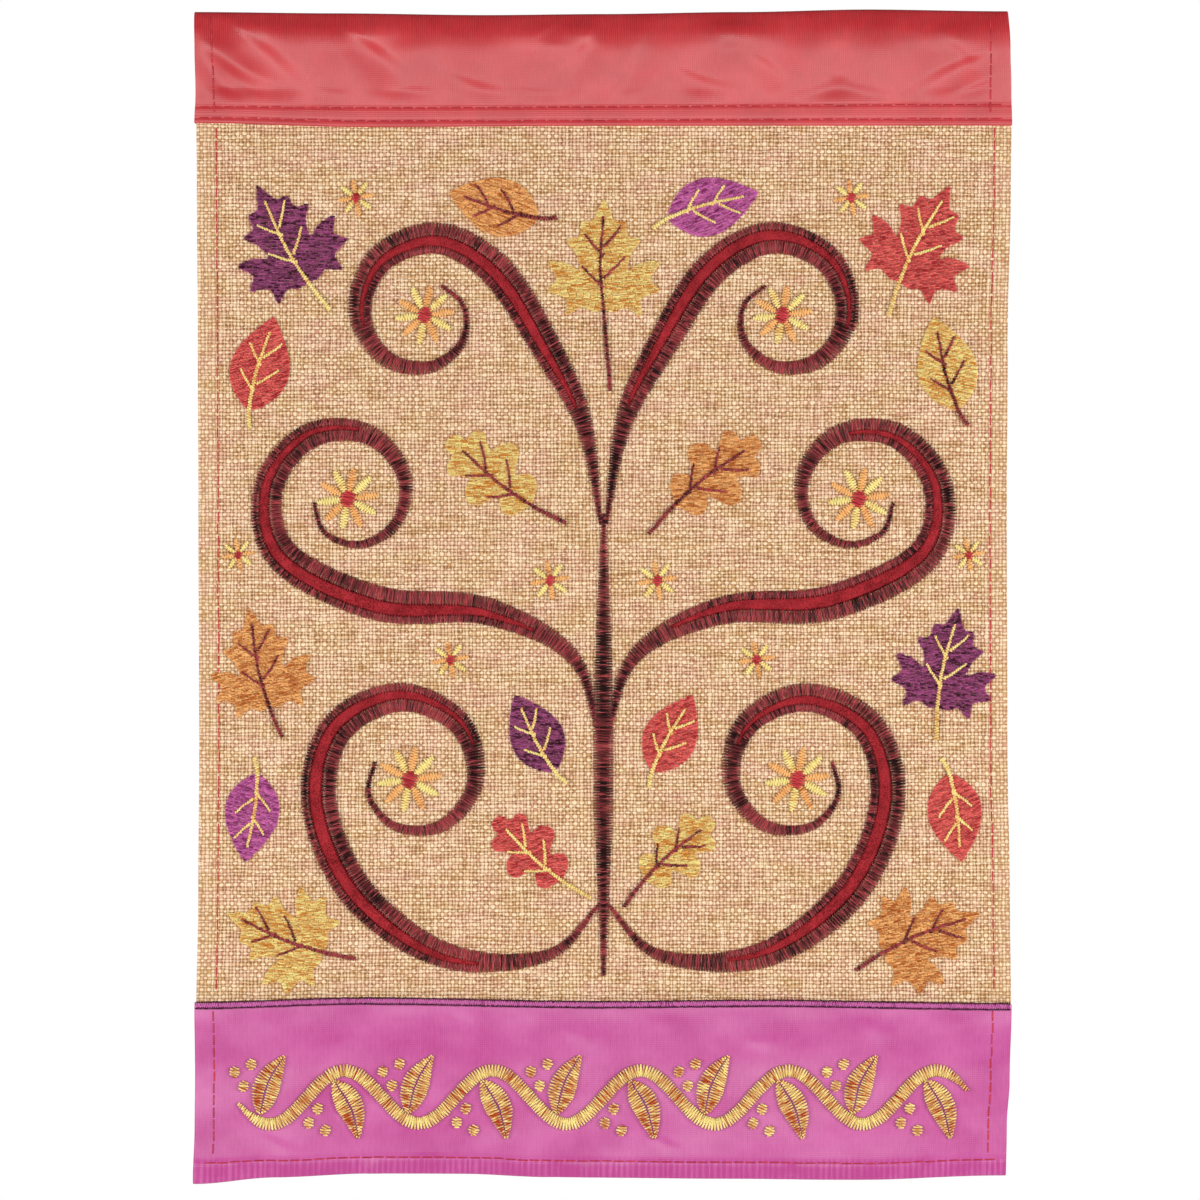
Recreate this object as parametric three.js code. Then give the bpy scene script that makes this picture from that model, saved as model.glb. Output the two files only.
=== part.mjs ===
// A garden flag of burlap cloth, with a coral rod pocket across its top, a magenta band across its foot and a
// purple satin-stitched edging over the seam between cloth and band.
// Millimetres, +Z up, +X to the right of someone who faces the flag. The front faces -Y.
// The origin is the middle of the top fold, which a stand's arm carries, and the flag hangs below it.
import * as THREE from 'three';
import { mergeVertices } from 'three/addons/utils/BufferGeometryUtils.js';

// Cloth thicknesses, and the air that two sewn layers keep between them
const BURLAP_THICK = 1.0;
const SATIN_THICK = 1.0;
const HEM_EXTRA = 0.6;
const AIR = 0.3;

// The turned hems, and the narrow slope from a hem's extra thickness to the single cloth
const SIDE_HEM = 7.0;
const FOOT_HEM = 7.2;
const HEM_STEP = 0.7;

// How far the burlap runs down behind the band, and over what height the band then comes back in line with it
const LAP = 4.2;
const LAP_FADE = 13;

// The edging cord's height and thickness, and how much of its height lies above the band's cut edge
const EDGING_TALL = 2.9;
const EDGING_THICK = 1.1;
const EDGING_OVER_BURLAP = 0.9;

// Depths below the top fold: the burlap's top edge and the slot that catches it, the pocket's seam, and the
// sleeve's lower edge
const BURLAP_TOP_DEPTH = 38.6;
const SLOT_TOP_DEPTH = 38.0;
const POCKET_END_DEPTH = 36.2;
const SLEEVE_DEPTH = 43.5;

// Depths where the hanging cloth's folds start, under the sleeve, and where they are full
const FOLDS_START = 48;
const FOLDS_FULL = 95;

// Heights of the middles of the burlap and of the band
const FIELD_MIDDLE_Z = -215;
const BAND_MIDDLE_Z = -420;

// Half the nominal width, where the tables of uneven edges begin and end
const HALF_WIDTH = 160;

// How many strips of faces run along and down each cloth
const FIELD_COLUMNS = 24;
const BURLAP_ROWS = 20;
const BAND_ROWS = 5;
const SLEEVE_STEPS = 26;
const EDGING_STEPS = 30;

// The sleeve's section: how far its outer front and back stand from the middle plane, at each depth
const SLEEVE_SECTION = [
  { depth: 0.5, front: -1.75, back: 1.75 },
  { depth: 1.6, front: -3.0, back: 3.0 },
  { depth: 3.5, front: -4.05, back: 4.05 },
  { depth: 7, front: -4.75, back: 4.75 },
  { depth: 12, front: -4.9, back: 4.9 },
  { depth: 18, front: -4.6, back: 4.6 },
  { depth: 25, front: -3.6, back: 3.8 },
  { depth: 31, front: -2.5, back: 3.0 },
  { depth: 35, front: -1.9, back: 2.45 },
  { depth: 37.3, front: -1.6, back: 2.2 },
  { depth: 39.6, front: -1.85, back: 2.45 },
  { depth: 42, front: -1.7, back: 2.3 },
  { depth: SLEEVE_DEPTH, front: -1.8, back: 2.4 },
];

// Uneven edges, read across the flag: the rise of the top fold, and the heights of the sleeve's lower edge, of
// the edging's upper edge and of the foot
const TOP_FOLD = [
  { at: -HALF_WIDTH, value: 0.8 },
  { at: -105, value: 0.3 },
  { at: -45, value: -0.4 },
  { at: 0, value: 0 },
  { at: 55, value: 0.8 },
  { at: 105, value: 1.8 },
  { at: HALF_WIDTH, value: 1.1 },
];
const SLEEVE_FOOT = [
  { at: -HALF_WIDTH, value: -42.4 },
  { at: -93, value: -44.0 },
  { at: 0, value: -43.5 },
  { at: HALF_WIDTH, value: -43.4 },
];
const SEAM = [
  { at: -HALF_WIDTH, value: -386.9 },
  { at: -93, value: -385.2 },
  { at: 0, value: -386.7 },
  { at: 63, value: -386.1 },
  { at: HALF_WIDTH, value: -387.5 },
];
const FOOT = [
  { at: -HALF_WIDTH, value: -458.2 },
  { at: -128, value: -455.8 },
  { at: -92, value: -454.7 },
  { at: -53, value: -454.8 },
  { at: -20, value: -455.9 },
  { at: 50, value: -456.3 },
  { at: 105, value: -456.8 },
  { at: HALF_WIDTH, value: -455.4 },
];

// Uneven sides, read down the flag
const SLEEVE_SIDES = [
  { at: -44, left: -160.2, right: 159.9 },
  { at: -30, left: -159.6, right: 159.5 },
  { at: -14, left: -159.9, right: 159.0 },
  { at: 2, left: -160.2, right: 158.3 },
];
const BURLAP_SIDES = [
  { at: -391, left: -159.4, right: 159.6 },
  { at: -345, left: -158.6, right: 159.2 },
  { at: -285, left: -158.2, right: 158.2 },
  { at: -200, left: -158.5, right: 157.8 },
  { at: -125, left: -158.8, right: 158.2 },
  { at: -70, left: -159.2, right: 159.4 },
  { at: -38, left: -159.4, right: 159.7 },
];
const BAND_SIDES = [
  { at: -458, left: -160.6, right: 157.7 },
  { at: -436, left: -159.9, right: 158.0 },
  { at: -418, left: -159.8, right: 159.1 },
  { at: -386, left: -160.1, right: 159.8 },
];

// Soft folds of the hanging cloth: middle, reach and how far each stands out, with - towards the front
const FOLDS = [
  { x: -100, z: -235, reachX: 95, reachZ: 160, out: -2.4 },
  { x: 10, z: -290, reachX: 90, reachZ: 170, out: 2.2 },
  { x: 95, z: -180, reachX: 80, reachZ: 130, out: -1.8 },
  { x: 165, z: -330, reachX: 75, reachZ: 130, out: 2.0 },
  { x: -165, z: -457, reachX: 75, reachZ: 85, out: -3.0 },
  { x: -75, z: -462, reachX: 60, reachZ: 80, out: 2.2 },
  { x: 60, z: -460, reachX: 90, reachZ: 75, out: -1.8 },
  { x: 150, z: -462, reachX: 55, reachZ: 80, out: 1.6 },
];

// Soft creases in the front of the empty sleeve, from one end to the other, with - for a ridge. They start
// below the top fold, fade in and out over a short depth, and reach past each end by a share of their length.
const CREASE_INSET = 3;
const CREASE_FADE = 5;
const CREASE_REACH = 0.8;
const CREASES = [
  { x: -154, z: -9, toX: -127, toZ: -36, width: 8, out: -0.5 },
  { x: -150, z: -26, toX: -136, toZ: -36, width: 7, out: 0.45 },
  { x: -93, z: -6, toX: -78, toZ: -24, width: 9, out: -0.6 },
  { x: -54, z: -12, toX: -42, toZ: -26, width: 9, out: 0.5 },
  { x: -8, z: -6, toX: -14, toZ: -34, width: 9, out: -0.5 },
  { x: 45, z: -7, toX: 42, toZ: -32, width: 9, out: -0.6 },
  { x: 56, z: -18, toX: 66, toZ: -22, width: 9, out: 0.5 },
  { x: 78, z: -30, toX: 106, toZ: -28, width: 8, out: 0.45 },
];

const FINISHES = {
  coralSatin: { color: 0xcf4350, roughness: 0.5 },
  burlap: { color: 0xcba47a, roughness: 0.9 },
  magentaSatin: { color: 0xcb5fa6, roughness: 0.5 },
  purpleThread: { color: 0x9a3c8f, roughness: 0.45 },
};

/** Goes smoothly from 0 to 1 as t does. */
function ease(t) {
  const s = Math.min(1, Math.max(0, t));
  return s * s * (3 - 2 * s);
}

/** A soft bump: 1 at t = 0, falling to 0 at t = 1 and t = -1. */
function bump(t) {
  return Math.abs(t) < 1 ? 0.5 + 0.5 * Math.cos(Math.PI * t) : 0;
}

/** Reads one column of a table at a position, easing from each row to the next. */
function read(table, position, column = 'value') {
  const next = table.findIndex((row) => row.at > position);
  if (next === 0) return table[0][column];
  if (next < 0) return table[table.length - 1][column];
  const [low, high] = [table[next - 1], table[next]];
  return low[column] + (high[column] - low[column]) * ease((position - low.at) / (high.at - low.at));
}

/** How far the hanging cloth stands back from the middle plane. */
function hang(x, z) {
  const fade = ease((-z - FOLDS_START) / (FOLDS_FULL - FOLDS_START));
  const fold = (f) => f.out * bump((x - f.x) / f.reachX) * bump((z - f.z) / f.reachZ);
  return fade * FOLDS.reduce((sum, f) => sum + fold(f), 0);
}

/** How far the sleeve's creases push its front in or out. */
function crease(x, z) {
  return CREASES.reduce((sum, c) => {
    const [alongX, alongZ] = [c.toX - c.x, c.toZ - c.z];
    const length = Math.hypot(alongX, alongZ);
    const share = ((x - c.x) * alongX + (z - c.z) * alongZ) / (length * length);
    const aside = ((x - c.x) * alongZ - (z - c.z) * alongX) / length;
    return sum + c.out * bump(aside / c.width) * bump((share - 0.5) / CREASE_REACH);
  }, 0);
}

/** The height of a point of the sleeve at a depth below its top fold. */
function sleeveHeight(x, depth) {
  const share = depth / SLEEVE_DEPTH;
  return read(TOP_FOLD, x) * (1 - share) + (read(SLEEVE_FOOT, x) + SLEEVE_DEPTH) * share - depth;
}

/** A mesh whose shared vertices are merged, so that it is one closed body. */
function closedMesh(name, geometry, finish) {
  const bare = geometry.clone();
  bare.deleteAttribute('normal');
  bare.deleteAttribute('uv');
  const merged = mergeVertices(bare, 1e-4);
  merged.computeVertexNormals();
  const mesh = new THREE.Mesh(merged, new THREE.MeshStandardMaterial({ ...finish, metalness: 0 }));
  mesh.name = name;
  return mesh;
}

/** Columns across a cloth: even ones in the field, and close ones where each side's hem begins. */
function hemmedColumns() {
  const inset = [0, SIDE_HEM / 2, SIDE_HEM, SIDE_HEM + HEM_STEP];
  const field = Array.from({ length: FIELD_COLUMNS - 1 }, (_, i) => ({ share: (i + 1) / FIELD_COLUMNS }));
  const left = inset.map((mm) => ({ share: 0, inset: mm }));
  const right = inset.map((mm) => ({ share: 1, inset: -mm })).reverse();
  return [...left, ...field, ...right];
}

/** The x of a column of a cloth, at a height. */
function columnX(column, sides, z) {
  const [left, right] = [read(sides, z, 'left'), read(sides, z, 'right')];
  const clear = SIDE_HEM + HEM_STEP;
  if (column.inset !== undefined) return (column.share === 0 ? left : right) + column.inset;
  return left + clear + column.share * (right - left - 2 * clear);
}

/** One closed sheet over a grid of columns and rows. Each point gives x, z and its front and back y. */
function sheet(columns, rows, point) {
  const grid = rows.map((row) => columns.map((column) => point(column, row)));
  const positions = [];
  for (const line of grid) {
    for (const p of line) positions.push(p.x, p.front, p.z, p.x, p.back, p.z);
  }
  const [across, down] = [columns.length, rows.length];
  const front = (r, c) => 2 * (r * across + c);
  const back = (r, c) => front(r, c) + 1;
  const faces = [];
  const quad = (a, b, c, d) => faces.push(a, b, c, a, c, d);
  for (let r = 0; r < down - 1; r += 1) {
    for (let c = 0; c < across - 1; c += 1) {
      quad(front(r, c), front(r + 1, c), front(r + 1, c + 1), front(r, c + 1));
      quad(back(r, c), back(r, c + 1), back(r + 1, c + 1), back(r + 1, c));
    }
    quad(front(r, 0), back(r, 0), back(r + 1, 0), front(r + 1, 0));
    quad(front(r, across - 1), front(r + 1, across - 1), back(r + 1, across - 1), back(r, across - 1));
  }
  for (let c = 0; c < across - 1; c += 1) {
    quad(front(0, c), front(0, c + 1), back(0, c + 1), back(0, c));
    quad(front(down - 1, c), back(down - 1, c), back(down - 1, c + 1), front(down - 1, c + 1));
  }
  const geometry = new THREE.BufferGeometry();
  geometry.setAttribute('position', new THREE.Float32BufferAttribute(positions, 3));
  geometry.setIndex(faces);
  return geometry;
}

/** True on the columns that lie in a side's turned hem. */
function inSideHem(column) {
  return column.inset !== undefined && Math.abs(column.inset) <= SIDE_HEM;
}

/** The burlap, from the sleeve's seam to the lap behind the band. Its side hems are turned to the back. */
function burlapPanel() {
  const rows = Array.from({ length: BURLAP_ROWS + 1 }, (_, i) => i / BURLAP_ROWS);
  const geometry = sheet(hemmedColumns(), rows, (column, share) => {
    const guess = columnX(column, BURLAP_SIDES, FIELD_MIDDLE_Z);
    const top = sleeveHeight(guess, BURLAP_TOP_DEPTH);
    const foot = read(SEAM, guess) - LAP;
    const z = top + (foot - top) * share;
    const x = columnX(column, BURLAP_SIDES, z);
    const middle = hang(x, z);
    const hem = inSideHem(column) ? HEM_EXTRA : 0;
    return { x, z, front: middle - BURLAP_THICK / 2, back: middle + BURLAP_THICK / 2 + hem };
  });
  return closedMesh('burlap_panel', geometry, FINISHES.burlap);
}

/** How far the band's middle stands in front of the burlap's: one lap at the seam, fading to none below it. */
function bandForward(below) {
  const lap = (BURLAP_THICK + SATIN_THICK) / 2 + AIR;
  return lap * (1 - ease((below - LAP) / LAP_FADE));
}

/** The magenta band, with hems turned to the back at its sides and foot. */
function footBand() {
  const lapEnd = LAP + AIR;
  const rows = [
    { below: EDGING_OVER_BURLAP, onBurlap: true },
    { below: lapEnd, onBurlap: true },
    { below: lapEnd + HEM_STEP },
    ...Array.from({ length: BAND_ROWS }, (_, i) => ({ share: (i + 1) / (BAND_ROWS + 1) })),
    { above: FOOT_HEM + HEM_STEP },
    { above: FOOT_HEM, foot: true },
    { above: FOOT_HEM / 2, foot: true },
    { above: 0, foot: true },
  ];
  const geometry = sheet(hemmedColumns(), rows, (column, row) => {
    const guess = columnX(column, BAND_SIDES, BAND_MIDDLE_Z);
    const [seam, foot] = [read(SEAM, guess), read(FOOT, guess)];
    const [high, low] = [seam - lapEnd - HEM_STEP, foot + FOOT_HEM + HEM_STEP];
    let z = high + (low - high) * row.share;
    if (row.below !== undefined) z = seam - row.below;
    if (row.above !== undefined) z = foot + row.above;
    const x = columnX(column, BAND_SIDES, z);
    const middle = hang(x, z) - bandForward(seam - z);
    const hem = row.foot || (!row.onBurlap && inSideHem(column)) ? HEM_EXTRA : 0;
    return { x, z, front: middle - SATIN_THICK / 2, back: middle + SATIN_THICK / 2 + hem };
  });
  return closedMesh('foot_band', geometry, FINISHES.magentaSatin);
}

/** The outline of the sleeve's section in (y, height), with the slot that takes the burlap's top edge. */
function sleeveOutline() {
  const slotFront = -BURLAP_THICK / 2 - AIR;
  const slotBack = BURLAP_THICK / 2 + HEM_EXTRA + AIR;
  const down = SLEEVE_SECTION.map((row) => new THREE.Vector2(row.front, -row.depth));
  const up = SLEEVE_SECTION.map((row) => new THREE.Vector2(row.back, -row.depth)).reverse();
  const slot = [
    new THREE.Vector2(slotFront, -SLEEVE_DEPTH),
    new THREE.Vector2(slotFront, -SLOT_TOP_DEPTH),
    new THREE.Vector2(slotBack, -SLOT_TOP_DEPTH),
    new THREE.Vector2(slotBack, -SLEEVE_DEPTH),
  ];
  return new THREE.Shape([new THREE.Vector2(0, 0), ...down, ...slot, ...up]);
}

/** The hole of the rod pocket in (y, height): the outer section taken in by the cloth's thickness. */
function rodPocket() {
  const rows = SLEEVE_SECTION.filter((row) => row.depth < POCKET_END_DEPTH);
  const inward = (side) =>
    rows.map((row, i) => {
      const before = i === 0 ? { depth: 0, [side]: 0 } : rows[i - 1];
      const after = rows[Math.min(i + 1, rows.length - 1)];
      const [stepY, stepZ] = [after[side] - before[side], before.depth - after.depth];
      const length = Math.hypot(stepY, stepZ);
      const turn = side === 'front' ? 1 : -1;
      const y = row[side] - (turn * SATIN_THICK * stepZ) / length;
      return new THREE.Vector2(y, -row.depth + (turn * SATIN_THICK * stepY) / length);
    });
  const top = new THREE.Vector2(0, -SATIN_THICK);
  const foot = new THREE.Vector2(HEM_EXTRA / 2, -POCKET_END_DEPTH);
  return new THREE.Path([top, ...inward('front'), foot, ...inward('back').reverse()]);
}

/** The coral sleeve: one strip folded over at the top and sewn through above the burlap's edge. */
function rodSleeve() {
  const shape = sleeveOutline();
  shape.holes.push(rodPocket());
  const geometry = new THREE.ExtrudeGeometry(shape, { depth: 1, steps: SLEEVE_STEPS, bevelEnabled: false });
  const points = geometry.attributes.position;
  for (let i = 0; i < points.count; i += 1) {
    const [y, depth, share] = [points.getX(i), -points.getY(i), points.getZ(i)];
    const guess = HALF_WIDTH * (2 * share - 1);
    const z = sleeveHeight(guess, depth);
    const left = read(SLEEVE_SIDES, z, 'left');
    const x = left + share * (read(SLEEVE_SIDES, z, 'right') - left);
    const loose = ease((depth - CREASE_INSET) / CREASE_FADE) * ease((POCKET_END_DEPTH - depth) / CREASE_FADE);
    points.setXYZ(i, x, y < 0 ? y + loose * crease(x, z) : y, z);
  }
  return closedMesh('rod_sleeve', geometry, FINISHES.coralSatin);
}

/** The purple edging: a half-round cord of satin stitches along the seam, on the band's upper edge. */
function seamEdging() {
  const round = [
    { down: 0, out: 0 },
    { down: 0.08, out: 0.5 },
    { down: 0.28, out: 0.9 },
    { down: 0.5, out: 1 },
    { down: 0.72, out: 0.9 },
    { down: 0.92, out: 0.5 },
    { down: 1, out: 0 },
  ];
  const section = new THREE.Shape(round.map((p) => new THREE.Vector2(-p.out, -p.down)));
  const geometry = new THREE.ExtrudeGeometry(section, { depth: 1, steps: EDGING_STEPS, bevelEnabled: false });
  const points = geometry.attributes.position;
  for (let i = 0; i < points.count; i += 1) {
    const [out, down, share] = [-points.getX(i), -points.getY(i), points.getZ(i)];
    const seam = read(SEAM, HALF_WIDTH * (2 * share - 1));
    const z = seam - down * EDGING_TALL;
    const left = read(BAND_SIDES, z, 'left');
    const x = left + share * (read(BAND_SIDES, z, 'right') - left);
    const rest = hang(x, z) - bandForward(0) - SATIN_THICK / 2 - AIR;
    points.setXYZ(i, x, rest - out * EDGING_THICK, z);
  }
  return closedMesh('seam_edging', geometry, FINISHES.purpleThread);
}

const flag = new THREE.Group();
flag.add(rodSleeve(), burlapPanel(), footBand(), seamEdging());

export default flag;
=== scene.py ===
"""A burlap garden flag hung by its rod sleeve: its cloths, sewing and embroidery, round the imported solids.

The flag faces -Y. Shapes are worked out in millimetres, on arrays of X and Z, and become metres when a mesh
is written. Every stitch is a thin closed strand that dives into the cloth at both of its ends.
"""

import logging
import math
from collections.abc import Callable
from dataclasses import dataclass, field
from enum import Enum
from functools import partial

import bpy
import numpy as np
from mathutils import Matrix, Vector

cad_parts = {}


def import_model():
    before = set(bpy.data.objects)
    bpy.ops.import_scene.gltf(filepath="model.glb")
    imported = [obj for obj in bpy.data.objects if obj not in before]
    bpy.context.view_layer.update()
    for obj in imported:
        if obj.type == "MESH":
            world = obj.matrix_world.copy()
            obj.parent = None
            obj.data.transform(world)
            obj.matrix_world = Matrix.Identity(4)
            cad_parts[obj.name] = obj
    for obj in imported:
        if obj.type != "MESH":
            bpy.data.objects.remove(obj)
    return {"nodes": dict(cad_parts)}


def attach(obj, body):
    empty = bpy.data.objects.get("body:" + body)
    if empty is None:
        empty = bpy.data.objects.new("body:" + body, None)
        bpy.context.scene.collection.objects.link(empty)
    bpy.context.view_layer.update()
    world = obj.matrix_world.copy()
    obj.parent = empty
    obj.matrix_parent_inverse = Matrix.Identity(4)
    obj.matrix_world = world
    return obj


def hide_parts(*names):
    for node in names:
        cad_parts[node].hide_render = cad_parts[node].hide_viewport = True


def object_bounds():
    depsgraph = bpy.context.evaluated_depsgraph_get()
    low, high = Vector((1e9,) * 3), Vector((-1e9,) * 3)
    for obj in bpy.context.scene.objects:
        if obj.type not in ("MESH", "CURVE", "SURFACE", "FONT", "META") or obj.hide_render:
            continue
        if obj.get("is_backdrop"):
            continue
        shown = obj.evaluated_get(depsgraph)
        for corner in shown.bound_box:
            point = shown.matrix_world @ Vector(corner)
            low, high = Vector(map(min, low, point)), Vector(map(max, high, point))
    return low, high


MM = 0.001
BODY = "root"
CLOTH_UV = "cloth"
BAKE_UV = "OFBake"
# The point attribute of thread tone, with painted side light and painted glints added.
TONE_AND_PAINTED_LIGHT = "shade"
FRONT, BACK = -1, 1
log = logging.getLogger("flag")

Surface = Callable[[np.ndarray, np.ndarray], np.ndarray]


def ease(t: np.ndarray) -> np.ndarray:
    """Goes smoothly from 0 to 1 as t does, as 3 t squared less 2 t cubed, and stays there outside.

    Args:
        t: Shares of the way.
    Returns:
        The eased shares.
    """
    t = np.clip(t, 0.0, 1.0)
    return t * t * (3.0 - 2.0 * t)


def bump(t: np.ndarray) -> np.ndarray:
    """A soft bump, half of one plus the cosine of pi t: 1 at 0, and 0 at 1, at -1 and past them.

    Args:
        t: Distances from the middle, as shares of the reach.
    Returns:
        The heights.
    """
    return 0.5 + 0.5 * np.cos(np.pi * np.clip(np.abs(t), 0.0, 1.0))


def linear(colour: str) -> tuple[float, float, float, float]:
    """Turns an sRGB hex colour into the linear colour that a shader's socket takes.

    Args:
        colour: Six hex digits after a hash.
    Returns:
        Red, green, blue and an alpha of 1.
    """
    srgb = np.array([int(colour[i : i + 2], 16) for i in (1, 3, 5)]) / 255.0
    low, high = srgb / 12.92, ((srgb + 0.055) / 1.055) ** 2.4
    red, green, blue = (float(c) for c in np.where(srgb <= 0.04045, low, high))
    return red, green, blue, 1.0


@dataclass(frozen=True)
class Edge:
    """An uneven edge: its value at each position, eased from one to the next."""

    at: tuple[float, ...]
    value: tuple[float, ...]

    def read(self, position: np.ndarray) -> np.ndarray:
        """Reads the edge.

        Args:
            position: Places along the edge, in mm.
        Returns:
            The edge's values there, in mm.
        """
        at, value = np.array(self.at), np.array(self.value)
        k = np.clip(np.searchsorted(at, position, side="right"), 1, len(at) - 1)
        share = ease((position - at[k - 1]) / (at[k] - at[k - 1]))
        return value[k - 1] + (value[k] - value[k - 1]) * share


@dataclass(frozen=True)
class Fold:
    """A soft fold of the hanging cloth: its middle, its reach, and how far it stands back."""

    x: float
    z: float
    reach_x: float
    reach_z: float
    out: float

    def depth(self, x: np.ndarray, z: np.ndarray) -> np.ndarray:
        """How far the fold stands back at each point: two bumps multiplied."""
        return self.out * bump((x - self.x) / self.reach_x) * bump((z - self.z) / self.reach_z)


@dataclass(frozen=True)
class Crease:
    """A soft crease from one end to the other, a trough where out is above 0 and a ridge where it is below.

    It bows aside in the middle, and grows wider towards its second end. The wall that faces down is the
    steeper one, by the lean, so that a single band of it turns away from the light.
    """

    x: float
    z: float
    to_x: float
    to_z: float
    width: float
    out: float
    bow: float = 0.0
    taper: float = 0.35
    reach: float = 0.8
    lean: float = 0.38

    def depth(self, x: np.ndarray, z: np.ndarray) -> np.ndarray:
        """How far the crease stands back: a bump across its bowed line times a bump along it.

        Args:
            x: X of the points in mm.
            z: Their heights in mm.
        Returns:
            Depths in mm.
        """
        along_x, along_z = self.to_x - self.x, self.to_z - self.z
        length = math.hypot(along_x, along_z)
        share = ((x - self.x) * along_x + (z - self.z) * along_z) / length**2
        aside = ((x - self.x) * along_z - (z - self.z) * along_x) / length
        aside = aside - self.bow * (1.0 - (2.0 * share - 1.0) ** 2)
        below = np.sign(aside) * math.copysign(1.0, along_x) * math.copysign(1.0, self.out)
        widening = 1.0 + self.taper * (2.0 * np.clip(share, 0.0, 1.0) - 1.0)
        wide = self.width * widening * (1.0 + self.lean * below)
        return self.out * bump(aside / wide) * bump((share - 0.5) / self.reach)


def crease_table(*rows: tuple[float, ...]) -> tuple[Crease, ...]:
    """Makes creases of rows of x, z, to_x, to_z, width, out and, where they matter, bow, taper and reach."""
    return tuple(Crease(*row) for row in rows)


@dataclass(frozen=True)
class Ripple:
    """A slow wave of a cloth: its height, its length over tau, its lean with the height, and its start."""

    height: float
    length: float
    lean: float = 0.0
    start: float = 0.0

    def depth(self, x: np.ndarray, z: np.ndarray) -> np.ndarray:
        """How far the wave stands back at each point: its height times the sine of its place."""
        return self.height * np.sin(x / self.length + self.lean * z + self.start)


@dataclass(frozen=True)
class FlagShape:
    """The hanging flag's edges, seams and folds, in mm, as its solids have them."""

    half_width: float = 160.0
    sleeve_depth: float = 43.5
    lap: float = 4.2
    lap_fade: float = 24.0
    lap_forward: float = 1.3
    face_forward: float = 0.5
    folds_start: float = 48.0
    folds_full: float = 95.0
    top_fold: Edge = Edge((-160, -105, -45, 0, 55, 105, 160), (0.8, 0.3, -0.4, 0, 0.8, 1.8, 1.1))
    sleeve_foot: Edge = Edge((-160, -93, 0, 160), (-42.4, -44.0, -43.5, -43.4))
    seam: Edge = Edge((-160, -93, 0, 63, 160), (-386.9, -385.2, -386.7, -386.1, -387.5))
    foot: Edge = Edge(
        (-160, -128, -92, -53, -20, 50, 105, 160),
        (-458.2, -455.8, -454.7, -454.8, -455.9, -456.3, -456.8, -455.4),
    )
    sleeve_left: Edge = Edge((-44, -30, -14, 2), (-160.2, -159.6, -159.9, -160.2))
    sleeve_right: Edge = Edge((-44, -30, -14, 2), (159.9, 159.5, 159.0, 158.3))
    burlap_left: Edge = Edge(
        (-391, -345, -285, -200, -125, -70, -38), (-159.4, -158.6, -158.2, -158.5, -158.8, -159.2, -159.4)
    )
    burlap_right: Edge = Edge(
        (-391, -345, -285, -200, -125, -70, -38), (159.6, 159.2, 158.2, 157.8, 158.2, 159.4, 159.7)
    )
    band_left: Edge = Edge((-458, -436, -418, -386), (-160.6, -159.9, -159.8, -160.1))
    band_right: Edge = Edge((-458, -436, -418, -386), (157.7, 158.0, 159.1, 159.8))
    folds: tuple[Fold, ...] = (
        Fold(x=-100, z=-235, reach_x=95, reach_z=160, out=-2.4),
        Fold(x=10, z=-290, reach_x=90, reach_z=170, out=2.2),
        Fold(x=95, z=-180, reach_x=80, reach_z=130, out=-1.8),
        Fold(x=165, z=-330, reach_x=75, reach_z=130, out=2.0),
        Fold(x=-165, z=-457, reach_x=75, reach_z=85, out=-3.0),
        Fold(x=-75, z=-462, reach_x=60, reach_z=80, out=2.2),
        Fold(x=60, z=-460, reach_x=90, reach_z=75, out=-1.8),
        Fold(x=150, z=-462, reach_x=55, reach_z=80, out=1.6),
    )

    def hang(self, x: np.ndarray, z: np.ndarray) -> np.ndarray:
        """How far the hanging cloth's middle stands back: the sum of its folds, which fade out upwards."""
        fade = ease((-z - self.folds_start) / (self.folds_full - self.folds_start))
        return fade * sum(fold.depth(x, z) for fold in self.folds)

    def sleeve_height(self, x: np.ndarray, depth: np.ndarray) -> np.ndarray:
        """The height of a point of the sleeve: its top and lower edges' heights, mixed by its depth.

        Args:
            x: X of the points in mm.
            depth: Their depths below the top fold in mm.
        Returns:
            Heights in mm.
        """
        share = depth / self.sleeve_depth
        foot = self.sleeve_foot.read(x) + self.sleeve_depth
        return self.top_fold.read(x) * (1.0 - share) + foot * share - depth

    def band_forward(self, below: np.ndarray) -> np.ndarray:
        """How far the band stands in front of the burlap: one lap at the seam, easing to none below it."""
        return self.lap_forward * (1.0 - ease((below - self.lap) / self.lap_fade))


SHAPE = FlagShape()


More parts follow.
